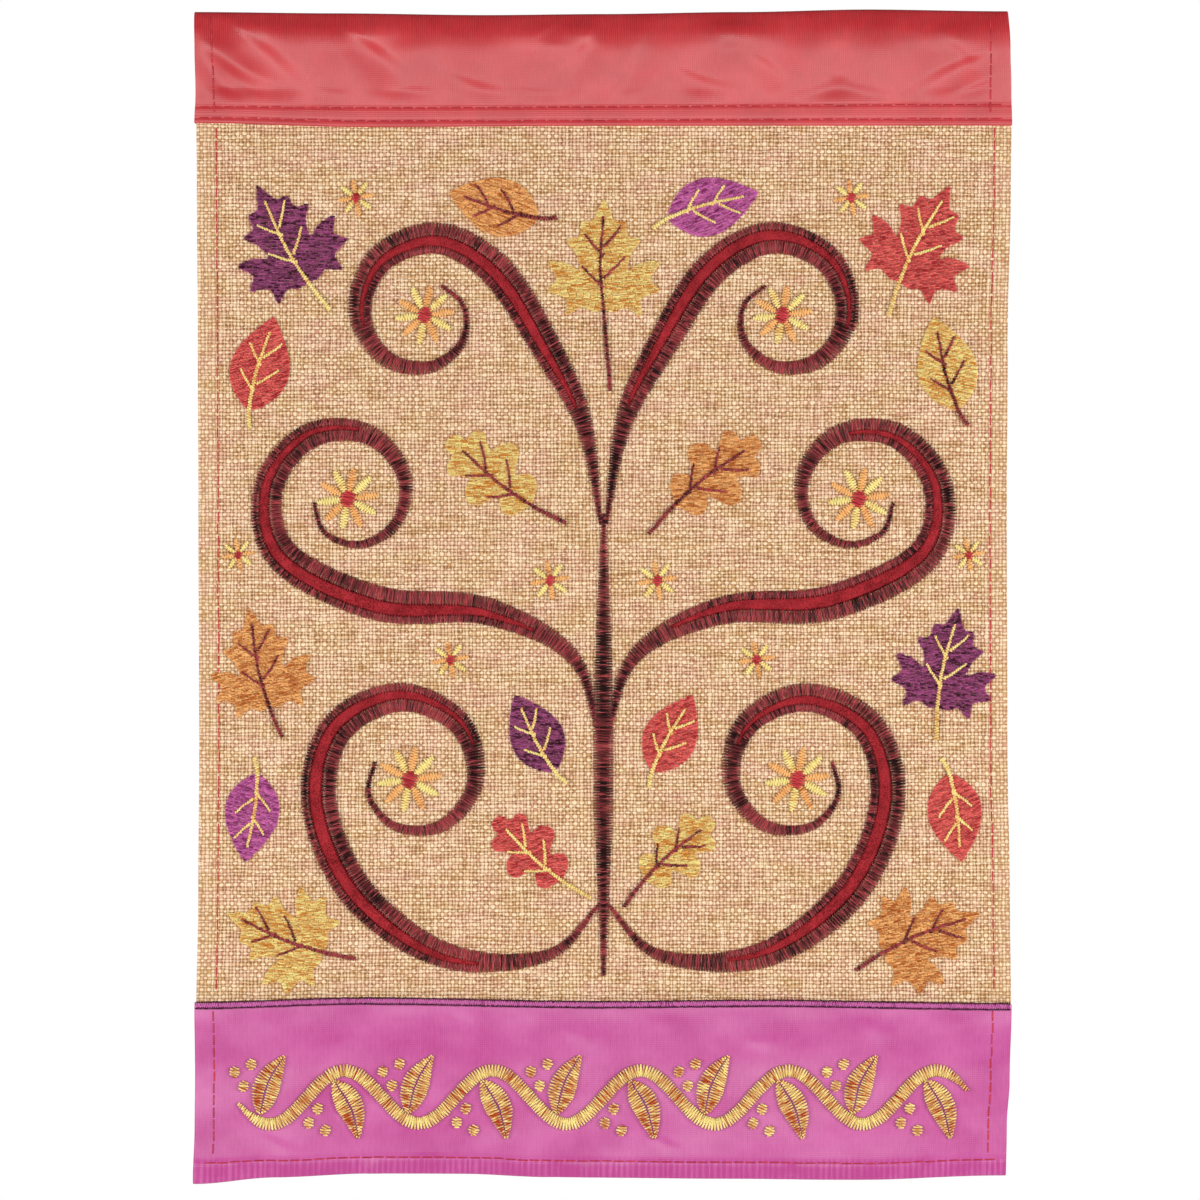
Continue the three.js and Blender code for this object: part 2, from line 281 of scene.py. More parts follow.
def write_mesh(
    name: str,
    points: np.ndarray,
    faces: np.ndarray,
    material: bpy.types.Material,
    cloth_uv: np.ndarray | None = None,
    shade: np.ndarray | None = None,
) -> bpy.types.Object:
    """Writes arrays of points and faces as one smooth object at the origin.

    Args:
        name: The object's name.
        points: Points in mm, one row each.
        faces: Point numbers, one row for each face.
        material: The finish.
        cloth_uv: Each point's place on the flat cloth in mm, where a weave follows the cloth.
        shade: Each point's thread shade from 0 to 1, its tone with painted side light and painted glints
            added.
    Returns:
        The object, which rides on the flag's only body.
    """
    mesh = bpy.data.meshes.new(name)
    mesh.from_pydata(points * MM, [], faces)
    mesh.polygons.foreach_set("use_smooth", np.ones(len(faces), bool))
    corners = faces.ravel()
    flat = points[:, [0, 2]] if cloth_uv is None else cloth_uv
    low, high = flat.min(0), flat.max(0)
    baked = (flat - low) / (high - low) * 0.98 + 0.01
    if cloth_uv is not None:
        layer = mesh.uv_layers.new(name=CLOTH_UV)
        layer.data.foreach_set("uv", (cloth_uv[corners] * MM).astype(np.float32).ravel())
    layer = mesh.uv_layers.new(name=BAKE_UV)
    layer.data.foreach_set("uv", baked[corners].astype(np.float32).ravel())
    if shade is not None:
        attribute = mesh.attributes.new(TONE_AND_PAINTED_LIGHT, "FLOAT", "POINT")
        attribute.data.foreach_set("value", shade.astype(np.float32))
    mesh.materials.append(material)
    mesh.validate()
    piece = add_object(name, mesh)
    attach(piece, BODY)
    log.info("%s: %d points, %d faces", name, len(points), len(faces))
    return piece


def add_object(name: str, data: bpy.types.ID) -> bpy.types.Object:
    """Makes an object of a mesh, a lamp or a camera and puts it in the scene.

    Args:
        name: The object's name.
        data: What it shows.
    Returns:
        The object.
    """
    made = bpy.data.objects.new(name, data)
    bpy.context.scene.collection.objects.link(made)
    return made


def grid_faces(rows: int, columns: int) -> np.ndarray:
    """Four-sided faces between neighbouring points of a grid.

    Args:
        rows: Points down the grid.
        columns: Points across it.
    Returns:
        One row of four point numbers for each face.
    """
    r, c = np.mgrid[: rows - 1, : columns - 1]
    first = (r * columns + c).ravel()
    return np.stack([first, first + 1, first + columns + 1, first + columns], axis=1)


def node(
    tree: bpy.types.NodeTree, kind: str, inputs: dict | None = None, output: int | str = 0, **settings: object
) -> bpy.types.NodeSocket:
    """Adds a shader node with its settings, values and links.

    Args:
        tree: The material's node tree.
        kind: The node's type after ShaderNode.
        inputs: A value, or another node's output, for each input named or numbered.
        output: The output that is wanted.
        settings: The node's own settings.
    Returns:
        That output's socket.
    """
    made = tree.nodes.new("ShaderNode" + kind)
    for key, value in settings.items():
        setattr(made, key, value)
    for key, value in (inputs or {}).items():
        if isinstance(value, bpy.types.NodeSocket):
            tree.links.new(value, made.inputs[key])
        else:
            made.inputs[key].default_value = value
    return made.outputs[output]


def new_material(name: str, **values: object) -> tuple[bpy.types.Material, bpy.types.NodeTree, dict]:
    """A material with one principled shader.

    Args:
        name: The material's name.
        values: The shader's own socket values, with _ for each space.
    Returns:
        The material, its tree, and the shader's inputs.
    """
    material = bpy.data.materials.new(name)
    material.use_nodes = True
    tree = material.node_tree
    inputs = tree.nodes["Principled BSDF"].inputs
    for key, value in values.items():
        inputs[key.replace("_", " ")].default_value = value
    return material, tree, inputs


@dataclass(frozen=True)
class Burlap:
    """Natural jute, spun coarse, left unbleached and woven plain.

    It gives the eye a matt chequer of uneven yarns that pass over and under, with pale tops, partly a
    painted highlight, and dark gaps painted as the shade between the yarns.
    """

    pitch: float = 1.41
    wander: float = 1.4
    slubs: float = 0.95
    relief: float = 0.3
    upright_deeper: float = 0.17
    light: str = "#fbe1bd"
    tan: str = "#c6945f"
    blush: str = "#d0967a"
    # Painted shade: the dark colour of the gaps between the yarns, paler behind the hems.
    gap: str = "#8a6341"
    hem_gap_shade: str = "#a8825c"
    hem_from: float = 152.0
    roughness: float = 0.9
    gap_shade_range: tuple[float, float] = (1.55, 2.4)
    pale_range: tuple[float, float] = (0.8, 1.34)
    blush_range: tuple[float, float] = (0.4, 0.64)

    def material(self) -> bpy.types.Material:
        """Builds the weave from two crossed sets of yarns.

        Each set is the size of the sine of pi times the place across it, counted in yarns, where a noise
        drawn out along the yarns makes them wander, thicken and change shade. A yarn's height is its size
        times a half, plus or minus half of the other set's size as it passes over or under. The higher yarn
        shows. Its top is pale, with a painted highlight that grows with its height, and paler on the level
        yarns than on the upright ones. What lies low between the yarns is a gap, painted dark as shade, and
        painted paler behind the side hems, where another layer fills it.

        Returns:
            The material.
        """
        material, tree, shader = new_material(
            "natural_jute_plain_weave", Roughness=self.roughness, Specular_IOR_Level=0.12, Sheen_Weight=0.1
        )
        add = partial(node, tree)
        flat = add("UVMap", uv_map=CLOTH_UV)
        yarns = add("VectorMath", {0: flat, 3: 1.0 / (self.pitch * MM)}, operation="SCALE")
        axes = add("SeparateXYZ", {0: yarns}).node.outputs
        waves, slubs, shades = [], [], []
        sets = ((0, (1.0, 0.13, 0.0), (4.0, 0.9, 0.0)), (1, (0.13, 1.0, 0.0), (0.9, 4.0, 0.0)))
        for axis, drawn_out, fine in sets:
            place = add("VectorMath", {0: yarns, 1: drawn_out}, operation="MULTIPLY")
            drawn = add("TexNoise", {"Vector": place, "Scale": 1.0, "Detail": 2.0, "Roughness": 0.6}, "Color")
            drawn = add("SeparateXYZ", {0: drawn}).node.outputs
            moved = add("Math", {0: drawn[0], 1: self.wander, 2: axes[axis]}, operation="MULTIPLY_ADD")
            turns = add("Math", {0: moved, 1: math.pi}, operation="MULTIPLY")
            waves.append(add("Math", {0: turns}, operation="SINE"))
            slubs.append(drawn[1])
            place = add("VectorMath", {0: yarns, 1: fine}, operation="MULTIPLY")
            hair = add("TexNoise", {"Vector": place, "Scale": 1.0, "Detail": 1.0})
            shades.append(add("Math", {0: hair, 1: 0.5, 2: drawn[2]}, operation="MULTIPLY_ADD"))
        product = add("Math", {0: waves[0], 1: waves[1]}, operation="MULTIPLY")
        turn = add("Math", {0: product}, operation="SIGN")
        sizes = [add("Math", {0: wave}, operation="ABSOLUTE") for wave in waves]
        heights = []
        for own, other, half in ((0, 1, 0.5), (1, 0, -0.5)):
            passing = add("Math", {0: turn, 1: half}, operation="MULTIPLY")
            lifted = add("Math", {0: passing, 1: sizes[other], 2: 0.5}, operation="MULTIPLY_ADD")
            thick = add("Math", {0: slubs[own], 1: self.slubs, 2: sizes[own]}, operation="MULTIPLY_ADD")
            heights.append(add("Math", {0: lifted, 1: thick}, operation="MULTIPLY"))
        over = add("Math", {0: heights[0], 1: heights[1]}, operation="GREATER_THAN")
        height = add("Math", {0: heights[0], 1: heights[1]}, operation="MAXIMUM")
        shade = add("Mix", {0: over, 2: shades[1], 3: shades[0]})
        wide = add("Math", {0: sizes[0], 1: sizes[1]}, operation="MAXIMUM")
        # Painted shade: the gap colour shows where the yarns lie low and thin.
        cover = add("Math", {0: height, 1: 0.9, 2: wide}, operation="MULTIPLY_ADD")
        cover = add("Math", {0: cover, 1: shade}, operation="ADD")
        low, high = self.gap_shade_range
        deep = add("MapRange", {0: cover, 1: low, 2: high}, interpolation_type="SMOOTHSTEP")
        # Painted highlight: the yarn's top turns pale the higher it stands, with its own tone added.
        crown = add("Math", {0: height, 1: 0.35, 2: shade}, operation="MULTIPLY_ADD")
        crown = add("Math", {0: over, 1: -self.upright_deeper, 2: crown}, operation="MULTIPLY_ADD")
        low, high = self.pale_range
        pale = add("MapRange", {0: crown, 1: low, 2: high}, interpolation_type="SMOOTHSTEP")
        place = add("VectorMath", {0: yarns, 1: (0.07, 0.16, 0.0)}, operation="MULTIPLY")
        low, high = self.blush_range
        tinted = add("MapRange", {0: add("TexNoise", {"Vector": place, "Scale": 1.0}), 1: low, 2: high})
        ground = add("Mix", {0: tinted, 6: linear(self.tan), 7: linear(self.blush)}, 2, data_type="RGBA")
        yarn = add("Mix", {0: pale, 6: ground, 7: linear(self.light)}, 2, data_type="RGBA")
        aside = add("Math", {0: axes[0]}, operation="ABSOLUTE")
        doubled = add("Math", {0: aside, 1: self.hem_from / self.pitch}, operation="GREATER_THAN")
        behind = add("Mix", {0: doubled, 6: linear(self.gap), 7: linear(self.hem_gap_shade)}, 2, data_type="RGBA")
        colour = add("Mix", {0: deep, 6: behind, 7: yarn}, 2, data_type="RGBA")
        normal = add("Bump", {"Strength": 1.0, "Distance": self.relief * MM, "Height": height})
        tree.links.new(colour, shader["Base Color"])
        tree.links.new(normal, shader["Normal"])
        return material


@dataclass(frozen=True)
class Satin:
    """Polyester satin, woven so that long upright yarns lie on its face.

    It gives the eye a deep dye where the cloth turns away, and a milky sheen where its yarns face a light,
    which spreads far to the sides and little up and down. The yarns are too fine to show, so the staggered
    dots where they dive and the ribs are drawn a few times coarser.
    """

    name: str
    colour: str
    deep: str
    gathered: tuple[float, float]
    rib_pitch: float
    dot_pitch: float = 1.5
    relief: float = 0.05
    ribs_elsewhere: float = 0.22
    gather_painted_shade: float = 0.18
    roughness: float = 0.5
    spread: float = 0.85
    streak_tone: float = 0.35
    dot_tone: float = 0.16
    rib_tone: float = 0.36

    def material(self) -> bpy.types.Material:
        """Builds staggered dots, a product of two diagonals' sines, and ribs where the cloth gathers, where
        the colour also takes a painted shade.

        Returns:
            The material.
        """
        material, tree, shader = new_material(
            self.name, Roughness=self.roughness, Specular_IOR_Level=0.62, Anisotropic=self.spread
        )
        add = partial(node, tree)
        flat = add("UVMap", uv_map=CLOTH_UV)
        noises = []
        for across, down in ((0.4, 0.03), (0.25, 0.05), (0.05, 0.06), (1.2, 0.25)):
            place = add("VectorMath", {0: flat, 1: (across / MM, down / MM, 0.0)}, operation="MULTIPLY")
            noises.append(add("TexNoise", {"Vector": place, "Scale": 1.0, "Detail": 2.0}))
        sway, patchy, cloudy, streaked = noises
        waves = []
        for lean in (1.0, -1.0):
            slope = (math.tau / self.dot_pitch / MM, lean * math.tau / self.dot_pitch / MM, 0.0)
            diagonal = add("VectorMath", {0: flat, 1: slope}, "Value", operation="DOT_PRODUCT")
            waves.append(add("Math", {0: diagonal}, operation="SINE"))
        dots = add("Math", {0: waves[0], 1: waves[1]}, operation="MULTIPLY")
        across = add("SeparateXYZ", {0: flat})
        swayed = add("Math", {0: across, 1: 1.0 / self.rib_pitch / MM, 2: sway}, operation="MULTIPLY_ADD")
        rib = add("Math", {0: add("Math", {0: swayed, 1: math.tau}, operation="MULTIPLY")}, operation="SINE")
        height = add("SeparateXYZ", {0: add("TexCoord", output="Object")}, "Z")
        low, high = (edge * MM for edge in self.gathered)
        gather = add("MapRange", {0: height, 1: low, 2: high}, interpolation_type="SMOOTHSTEP")
        amount = add("Math", {0: gather, 1: self.ribs_elsewhere}, operation="ADD")
        amount = add("Math", {0: amount, 1: patchy}, operation="MULTIPLY")
        ribbed = add("Math", {0: rib, 1: amount}, operation="MULTIPLY")
        tone = cloudy
        # The gather term is painted shade: it darkens the colour where the cloth gathers.
        parts = (
            (streaked, self.streak_tone), (dots, self.dot_tone), (ribbed, self.rib_tone),
            (gather, -self.gather_painted_shade),
        )
        for part, weight in parts:
            tone = add("Math", {0: part, 1: weight, 2: tone}, operation="MULTIPLY_ADD")
        share = add("MapRange", {0: tone, 1: 0.4, 2: 0.95})
        colour = add("Mix", {0: share, 6: linear(self.deep), 7: linear(self.colour)}, 2, data_type="RGBA")
        ribs = add("Math", {0: ribbed, 1: 3.0}, operation="MULTIPLY")
        relief = add("Math", {0: dots, 1: 0.4, 2: ribs}, operation="MULTIPLY_ADD")
        normal = add("Bump", {"Strength": 0.6, "Distance": self.relief * MM, "Height": relief})
        tree.links.new(colour, shader["Base Color"])
        tree.links.new(normal, shader["Normal"])
        tree.links.new(add("Tangent", direction_type="UV_MAP", uv_map=CLOTH_UV), shader["Tangent"])
        return material


@dataclass(frozen=True)
class Felt:
    """Pressed polyester felt, dyed crimson.

    It gives the eye a matt patch with a fine nap, mottled where its fibres lie thick or thin. Its fibres are
    too fine to show, so the nap is drawn as grains of 0.5 mm.
    """

    deep: str = "#5c080e"
    bright: str = "#b02c34"
    grain: float = 0.5
    cloud: float = 5.0
    nap: float = 0.12
    roughness: float = 0.85
    gloss: float = 0.15

    def material(self) -> bpy.types.Material:
        """Mixes the two dyes by a fine noise with a slow one added, and raises the nap by the fine one.

        Returns:
            The material.
        """
        material, tree, shader = new_material(
            "crimson_polyester_felt", Roughness=self.roughness, Specular_IOR_Level=self.gloss
        )
        add = partial(node, tree)
        place = add("TexCoord", output="Object")
        fine = add("TexNoise", {"Vector": place, "Scale": 1.0 / (self.grain * MM), "Detail": 2.0})
        slow = add("TexNoise", {"Vector": place, "Scale": 1.0 / (self.cloud * MM), "Detail": 1.0})
        tone = add("Math", {0: fine, 1: 2.4, 2: slow}, operation="MULTIPLY_ADD")
        share = add("MapRange", {0: tone, 1: 1.2, 2: 2.2})
        colour = add("Mix", {0: share, 6: linear(self.deep), 7: linear(self.bright)}, 2, data_type="RGBA")
        normal = add("Bump", {"Strength": 0.7, "Distance": self.nap * MM, "Height": fine})
        tree.links.new(colour, shader["Base Color"])
        tree.links.new(normal, shader["Normal"])
        return material


@dataclass(frozen=True)
class Thread:
    """Polyester embroidery thread of shiny three-sided filaments, twisted loosely.

    It gives the eye a deep dye, mixed towards a bright one by each point's shade, which holds the stitch's
    tone with painted side light and painted glints added.
    """

    name: str
    deep: str
    bright: str
    roughness: float = 0.4
    gloss: float = 0.22

    def material(self) -> bpy.types.Material:
        """Mixes the deep and the bright dye by each point's shade: its stitch's tone, with painted side light
        and painted glints added.

        Returns:
            The material.
        """
        material, tree, shader = new_material(
            self.name, Roughness=self.roughness, Specular_IOR_Level=self.gloss
        )
        add = partial(node, tree)
        # The shade attribute holds each stitch's tone with painted side light and painted glints added.
        shade = add("Attribute", output="Fac", attribute_name=TONE_AND_PAINTED_LIGHT)
        colour = add("Mix", {0: shade, 6: linear(self.deep), 7: linear(self.bright)}, 2, data_type="RGBA")
        tree.links.new(colour, shader["Base Color"])
        return material


class Dye(Enum):
    """The thread colours, each with its slot and its deep and bright shades, mixed by a shade that holds
    tone with painted side light and painted glints.
    """

    MAROON = ("maroon_thread", "#240104", "#bc4c50")
    CRIMSON = ("crimson_thread", "#8c141e", "#dc4a50")
    SCARLET = ("crimson_thread", "#9c1826", "#d84450")
    CORAL = ("coral_thread", "#b22c32", "#f6746c")
    PURPLE = ("purple_thread", "#3c0420", "#b4568c")
    GOLD = ("gold_thread", "#dc8c30", "#ffee9c")
    ORANGE = ("orange_thread", "#c26826", "#ffc47c")
    AMBER = ("orange_thread", "#bc4818", "#ffec98")
    ORCHID = ("purple_thread", "#8a2468", "#e078bc")
    # A near-black plum for the edging's dark lines, which stand partly for painted shade at the cord's edges.
    PLUM = ("purple_thread", "#2c0818", "#5c1838")

    def material(self) -> bpy.types.Material:
        """The dye's thread material, made once."""
        name = "polyester_" + self.name.lower()
        return bpy.data.materials.get(name) or Thread(name, *self.value[1:]).material()


@dataclass
class Stitches:
    """Straight stitches gathered as arrays and written as one mesh of closed strands.

    A strand is a point, three-sided rings and a point. Its middle stands off the cloth by its lift and an
    arch, loft times one less the square of the distance from its middle, and its two ends lie in the cloth.
    The light comes from the sides, so painted side light shades the dye bright along upright strands and
    at level strands' sloping ends, and a few of the rings get a painted glint. Thread is 0.4 mm wide, and
    drawn wider so that single stitches show.
    """

    surface: Surface
    side: int = FRONT
    wide: float = 0.62
    thick: float = 0.4
    dive: float = 0.12
    # Painted side light: how far a strand's direction moves its shade.
    shine: float = 0.4
    # Painted glints: how far the rare bright rings are raised, drawn at random.
    glint: float = 1.1
    rarity: float = 7.0
    upright_power: float = 1.5
    end_power: int = 4
    painted_light_offset: float = 0.4
    seed: int = 3
    shares: tuple[float, ...] = (0.07, 0.35, 0.65, 0.93)
    runs: list[tuple[np.ndarray, ...]] = field(default_factory=list)

    def add(
        self,
        start: np.ndarray,
        end: np.ndarray,
        lift: float | np.ndarray = 0.2,
        loft: float | np.ndarray = 0.2,
        shade: float | np.ndarray = 0.5,
    ) -> None:
        """Adds stitches.

        Args:
            start: Where each begins, as X and Z in mm.
            end: Where each ends.
            lift: How far each stands off the cloth, in mm.
            loft: How far its middle arches above that.
            shade: Its dye's share from deep to bright.
        """
        count = len(start)
        self.runs.append((start, end, *(np.broadcast_to(a, count) for a in (lift, loft, shade))))

    def strands(self) -> tuple[np.ndarray, np.ndarray, np.ndarray]:
        """Works out every strand at once from the one template.

        Returns:
            Points in mm, faces of three, and each point's shade, with painted side light and painted glints.
        """
        start, end, lift, loft, shade = (np.concatenate(parts) for parts in zip(*self.runs))
        share = np.array(self.shares)[None, :, None]
        middle = start[:, None] + (end - start)[:, None] * share
        length = np.linalg.norm(end - start, axis=1, keepdims=True) + 1e-6
        along = (end - start) / length
        aside = np.stack([-along[:, 1], along[:, 0]], axis=1)[:, None] * self.wide / 2
        arch = lift[:, None] + loft[:, None] * (1.0 - (2.0 * share[:, :, 0] - 1.0) ** 2)
        rest = self.surface(middle[..., 0], middle[..., 1]) + self.side * arch
        rings = np.stack(
            [
                np.dstack([middle[..., 0] + aside[..., 0], rest, middle[..., 1] + aside[..., 1]]),
                np.dstack([middle[..., 0], rest + self.side * self.thick, middle[..., 1]]),
                np.dstack([middle[..., 0] - aside[..., 0], rest, middle[..., 1] - aside[..., 1]]),
            ],
            axis=2,
        )
        tips = [
            np.stack([p[:, 0], self.surface(p[:, 0], p[:, 1]) - self.side * self.dive, p[:, 1]], axis=1)
            for p in (start, end)
        ]
        count, ring_count = len(start), len(self.shares)
        points = np.concatenate([tips[0][:, None], rings.reshape(count, -1, 3), tips[1][:, None]], axis=1)
        faces = self.template()[None] + (np.arange(count) * (3 * ring_count + 2))[:, None, None]
        way = np.concatenate([[0.0], np.repeat(self.shares, 3), [1.0]])[None]
        # Painted side light: upright strands, and level strands' sloping ends, are shaded brighter.
        upright = np.abs(along[:, 1:]) ** self.upright_power
        sloping = np.abs(2.0 * way - 1.0) ** self.end_power
        painted_side_light = upright + (1.0 - upright) * sloping - self.painted_light_offset
        # Painted glints on a few rings, drawn at random.
        glints = self.glint * np.random.default_rng(self.seed).random((count, ring_count)) ** self.rarity
        glints = np.pad(np.repeat(glints, 3, axis=1), ((0, 0), (1, 1)))
        tone = np.clip(shade[:, None] + self.shine * painted_side_light + glints, 0.0, 1.0)
        return points.reshape(-1, 3), faces.reshape(-1, 3), tone.ravel()

    def template(self) -> np.ndarray:
        """The faces of one strand, which face outwards on either side of the cloth.

        Returns:
            Rows of three point numbers.
        """
        ring = np.arange(3)
        after = (ring + 1) % 3
        last = 3 * len(self.shares) + 1
        faces = [np.stack([np.zeros(3, int), 1 + after, 1 + ring], axis=1)]
        for k in range(len(self.shares) - 1):
            a, b, c, d = 1 + 3 * k + ring, 1 + 3 * k + after, 4 + 3 * k + after, 4 + 3 * k + ring
            faces += [np.stack([a, b, c], axis=1), np.stack([a, c, d], axis=1)]
        faces.append(np.stack([last - 3 + ring, last - 3 + after, np.full(3, last)], axis=1))
        outward = np.concatenate(faces)
        return outward if self.side == FRONT else outward[:, ::-1]

    def write(self, name: str, dye: Dye) -> bpy.types.Object:
        """Writes the stitches as one piece in a dye.

        Args:
            name: The piece's name.
            dye: The thread.
        Returns:
            The object.
        """
        points, faces, shade = self.strands()
        piece = write_mesh(name, points, faces, dye.material(), shade=shade)
        return piece


def travelled(path: np.ndarray) -> np.ndarray:
    """How far along a path each of its points lies, from 0 at the first one."""
    return np.concatenate([[0.0], np.cumsum(np.linalg.norm(np.diff(path, axis=0), axis=1))])


def smooth_path(knots: np.ndarray, step: float = 0.25, samples: int = 24) -> np.ndarray:
    """Carries a Catmull-Rom curve through knots and reads it at even steps of its length.

    Args:
        knots: Places in mm, one row each.
        step: The distance between the points given back.
        samples: Points worked out between two knots.
    Returns:
        The points, one row each.
    """
    k = np.vstack([2 * knots[0] - knots[1], knots, 2 * knots[-1] - knots[-2]])
    a, b, c, d = (k[i : len(k) - 3 + i][:, None] for i in range(4))
    t = np.linspace(0.0, 1.0, samples, endpoint=False)[None, :, None]
    cubic = 2 * b + (c - a) * t + (2 * a - 5 * b + 4 * c - d) * t**2 + (3 * b - a - 3 * c + d) * t**3
    dense = np.vstack([0.5 * cubic.reshape(-1, 2), knots[-1:]])
    run = travelled(dense)
    even = np.linspace(0.0, run[-1], max(2, int(run[-1] / step) + 1))
    return np.stack([np.interp(even, run, dense[:, 0]), np.interp(even, run, dense[:, 1])], axis=1)


def normals(path: np.ndarray) -> np.ndarray:
    """The unit directions to the left of a path, a quarter turn from its own direction.

    Args:
        path: Points in mm, one row each.
    Returns:
        One direction for each point.
    """
    ahead = np.gradient(path, axis=0)
    ahead /= np.linalg.norm(ahead, axis=1, keepdims=True)
    return np.stack([-ahead[:, 1], ahead[:, 0]], axis=1)


@dataclass
class Embroiderer:
    """Lays satin columns and fills, each with a seeded unevenness of its own."""

    seed: int
    pitch: float = 1.04
    row: float = 0.54
    fill_length: float = 3.0
    uneven: float = 0.1
    brick_slip: float = 0.381
    least_gap: float = 0.5
    shortest: float = 0.35

    def __post_init__(self) -> None:
        """Starts the seeded draws."""
        self.draw = np.random.default_rng(self.seed)

    def shades(self, count: int, middle: float, spread: float, drift: float = 0.12) -> np.ndarray:
        """Shades that drift slowly from stitch to stitch, with a draw for each one on top.

        Args:
            count: How many.
            middle: The usual shade.
            spread: How far one stitch strays.
            drift: How far the slow waves go.
        Returns:
            Shades, mostly from 0 to 1.
        """
        steps = np.arange(count) / 23.0
        slow = np.sin(steps + self.draw.uniform(0, 6)) + 0.7 * np.sin(2.7 * steps)
        return middle + drift * slow + spread * self.draw.normal(size=count)

    def column(
        self, into: Stitches, path: np.ndarray, left: np.ndarray, right: np.ndarray, lift: float, puff: float,
        middle: float = 0.45,
    ) -> None:
        """Zigzags between two edges, which lie at distances left and right of a path.

        Args:
            into: The stitches to add to.
            path: Points in mm at even steps.
            left: Each point's distance to the column's left edge.
            right: The same to its right edge, below left.
            lift: How far the thread stands off the cloth.
            puff: How far a stitch arches, for each mm of its length.
            middle: The usual shade.
        """
        step = float(np.linalg.norm(path[1] - path[0]))
        places = np.arange(0.0, len(path) - 1, 0.5 * self.pitch / step)
        if len(places) < 2:
            return
        index = np.arange(len(path))
        side = np.stack([np.interp(places, index, normals(path)[:, i]) for i in (0, 1)], axis=1)
        centre = np.stack([np.interp(places, index, path[:, i]) for i in (0, 1)], axis=1)
        edges = np.stack([np.interp(places, index, left), np.interp(places, index, right)])
        edges += self.draw.normal(0.0, self.uneven, edges.shape)
        even = np.arange(len(places)) % 2
        hit = centre + side * np.where(even == 0, edges[0], edges[1])[:, None]
        start, end = hit[:-1], hit[1:]
        length = np.linalg.norm(end - start, axis=1)
        high = lift + self.draw.uniform(0.0, 0.08, len(length))
        into.add(start, end, high, 0.1 + puff * length, self.shades(len(length), middle, 0.22))

    def dot(self, into: Stitches, middle: np.ndarray, radius: float, lift: float, shade: float) -> None:
        """Sews a round dot as one satin column whose half width is the circle's at each height.

        Args:
            into: The stitches to add to.
            middle: Its middle, as X and Z in mm.
            radius: Its radius in mm.
            lift: How far the thread stands off the cloth.
            shade: The usual shade.
        """
        rise = np.linspace(-0.97, 0.97, 25)
        path = middle + radius * np.stack([0.25 * rise, rise], axis=1)
        half = radius * np.sqrt(1.0 - rise**2)
        self.column(into, path, half, -half, lift, 0.14, shade)

    def fill(
        self, into: Stitches, outline: np.ndarray, angle: float, lift: float = 0.16, middle: float = 0.5
    ) -> None:
        """Fills an outline with rows of short stitches, staggered from row to row like bricks.

        Each row is cut where it crosses the outline's edges, and the crossings, sorted, are taken in pairs.

        Args:
            into: The stitches to add to.
            outline: The closed outline's points in mm.
            angle: The rows' direction, in degrees up from +X.
            lift: How far the thread stands off the cloth.
            middle: The usual shade.
        """
        turn = math.radians(angle)
        basis = np.array([[math.cos(turn), math.sin(turn)], [-math.sin(turn), math.cos(turn)]])
        flat = outline @ basis.T
        after = np.roll(flat, -1, axis=0)
        heights = np.arange(flat[:, 1].min() + self.row / 2, flat[:, 1].max(), self.row)[:, None]
        low, high = np.minimum(flat[:, 1], after[:, 1]), np.maximum(flat[:, 1], after[:, 1])
        meets = (heights >= low) & (heights < high)
        share = (heights - flat[:, 1]) / np.where(after[:, 1] == flat[:, 1], 1.0, after[:, 1] - flat[:, 1])
        crossing = np.where(meets, flat[:, 0] + share * (after[:, 0] - flat[:, 0]), np.inf)
        crossing = np.sort(crossing, axis=1)[:, :8]
        opens, closes = crossing[:, 0::2], crossing[:, 1::2]
        across = np.subtract(closes, opens, out=np.zeros_like(closes), where=np.isfinite(closes))
        rows, pair = np.nonzero(across > self.least_gap)
        left = opens[rows, pair] + self.draw.normal(0.0, self.uneven, len(rows))
        right = closes[rows, pair] + self.draw.normal(0.0, self.uneven, len(rows))
        counts = np.maximum(1, np.ceil((right - left) / self.fill_length + 0.35 * (rows % 3))).astype(int)
        owner = np.repeat(np.arange(len(rows)), counts)
        within = np.arange(len(owner)) - np.repeat(np.cumsum(counts) - counts, counts)
        slip = ((rows * self.brick_slip) % 1.0)[owner] - 0.5
        cuts = [np.clip((within + k + slip * (0 < within + k)) / counts[owner], 0, 1) for k in (0, 1)]
        cuts[1] = np.where(within + 1 == counts[owner], 1.0, cuts[1])
        width = (right - left)[owner]
        along = [left[owner] + cut * width for cut in cuts]
        level = heights[rows[owner], 0] + self.draw.normal(0.0, 0.05, len(owner))
        start, end = (np.stack([a, level], axis=1) @ basis for a in along)
        keep = along[1] - along[0] > self.shortest
        lifts = lift + self.draw.uniform(0.0, 0.14, len(owner))
        shade = self.shades(len(owner), middle, 0.3, 0.06)
        into.add(start[keep], end[keep], lifts[keep], 0.12, shade[keep])


class Spool:
    """One heap of stitches for each dye on a cloth, so that a colour is one piece."""

    def __init__(self, surface: Surface, prefix: str, shine: float = 0.4) -> None:
        """Starts with no stitches.

        Args:
            surface: The front of the cloth that carries them.
            prefix: The start of each piece's name.
            shine: How far painted side light, by a strand's direction, changes its shade.
        """
        self.surface, self.prefix, self.shine = surface, prefix, shine
        self.heaps: dict[Dye, Stitches] = {}

    def take(self, dye: Dye) -> Stitches:
        """The heap of one dye."""
        return self.heaps.setdefault(dye, Stitches(self.surface, shine=self.shine))

    def write(self) -> list[bpy.types.Object]:
        """Writes each dye's stitches as one piece."""
        return [heap.write(f"{self.prefix}_{dye.name.lower()}", dye) for dye, heap in self.heaps.items()]


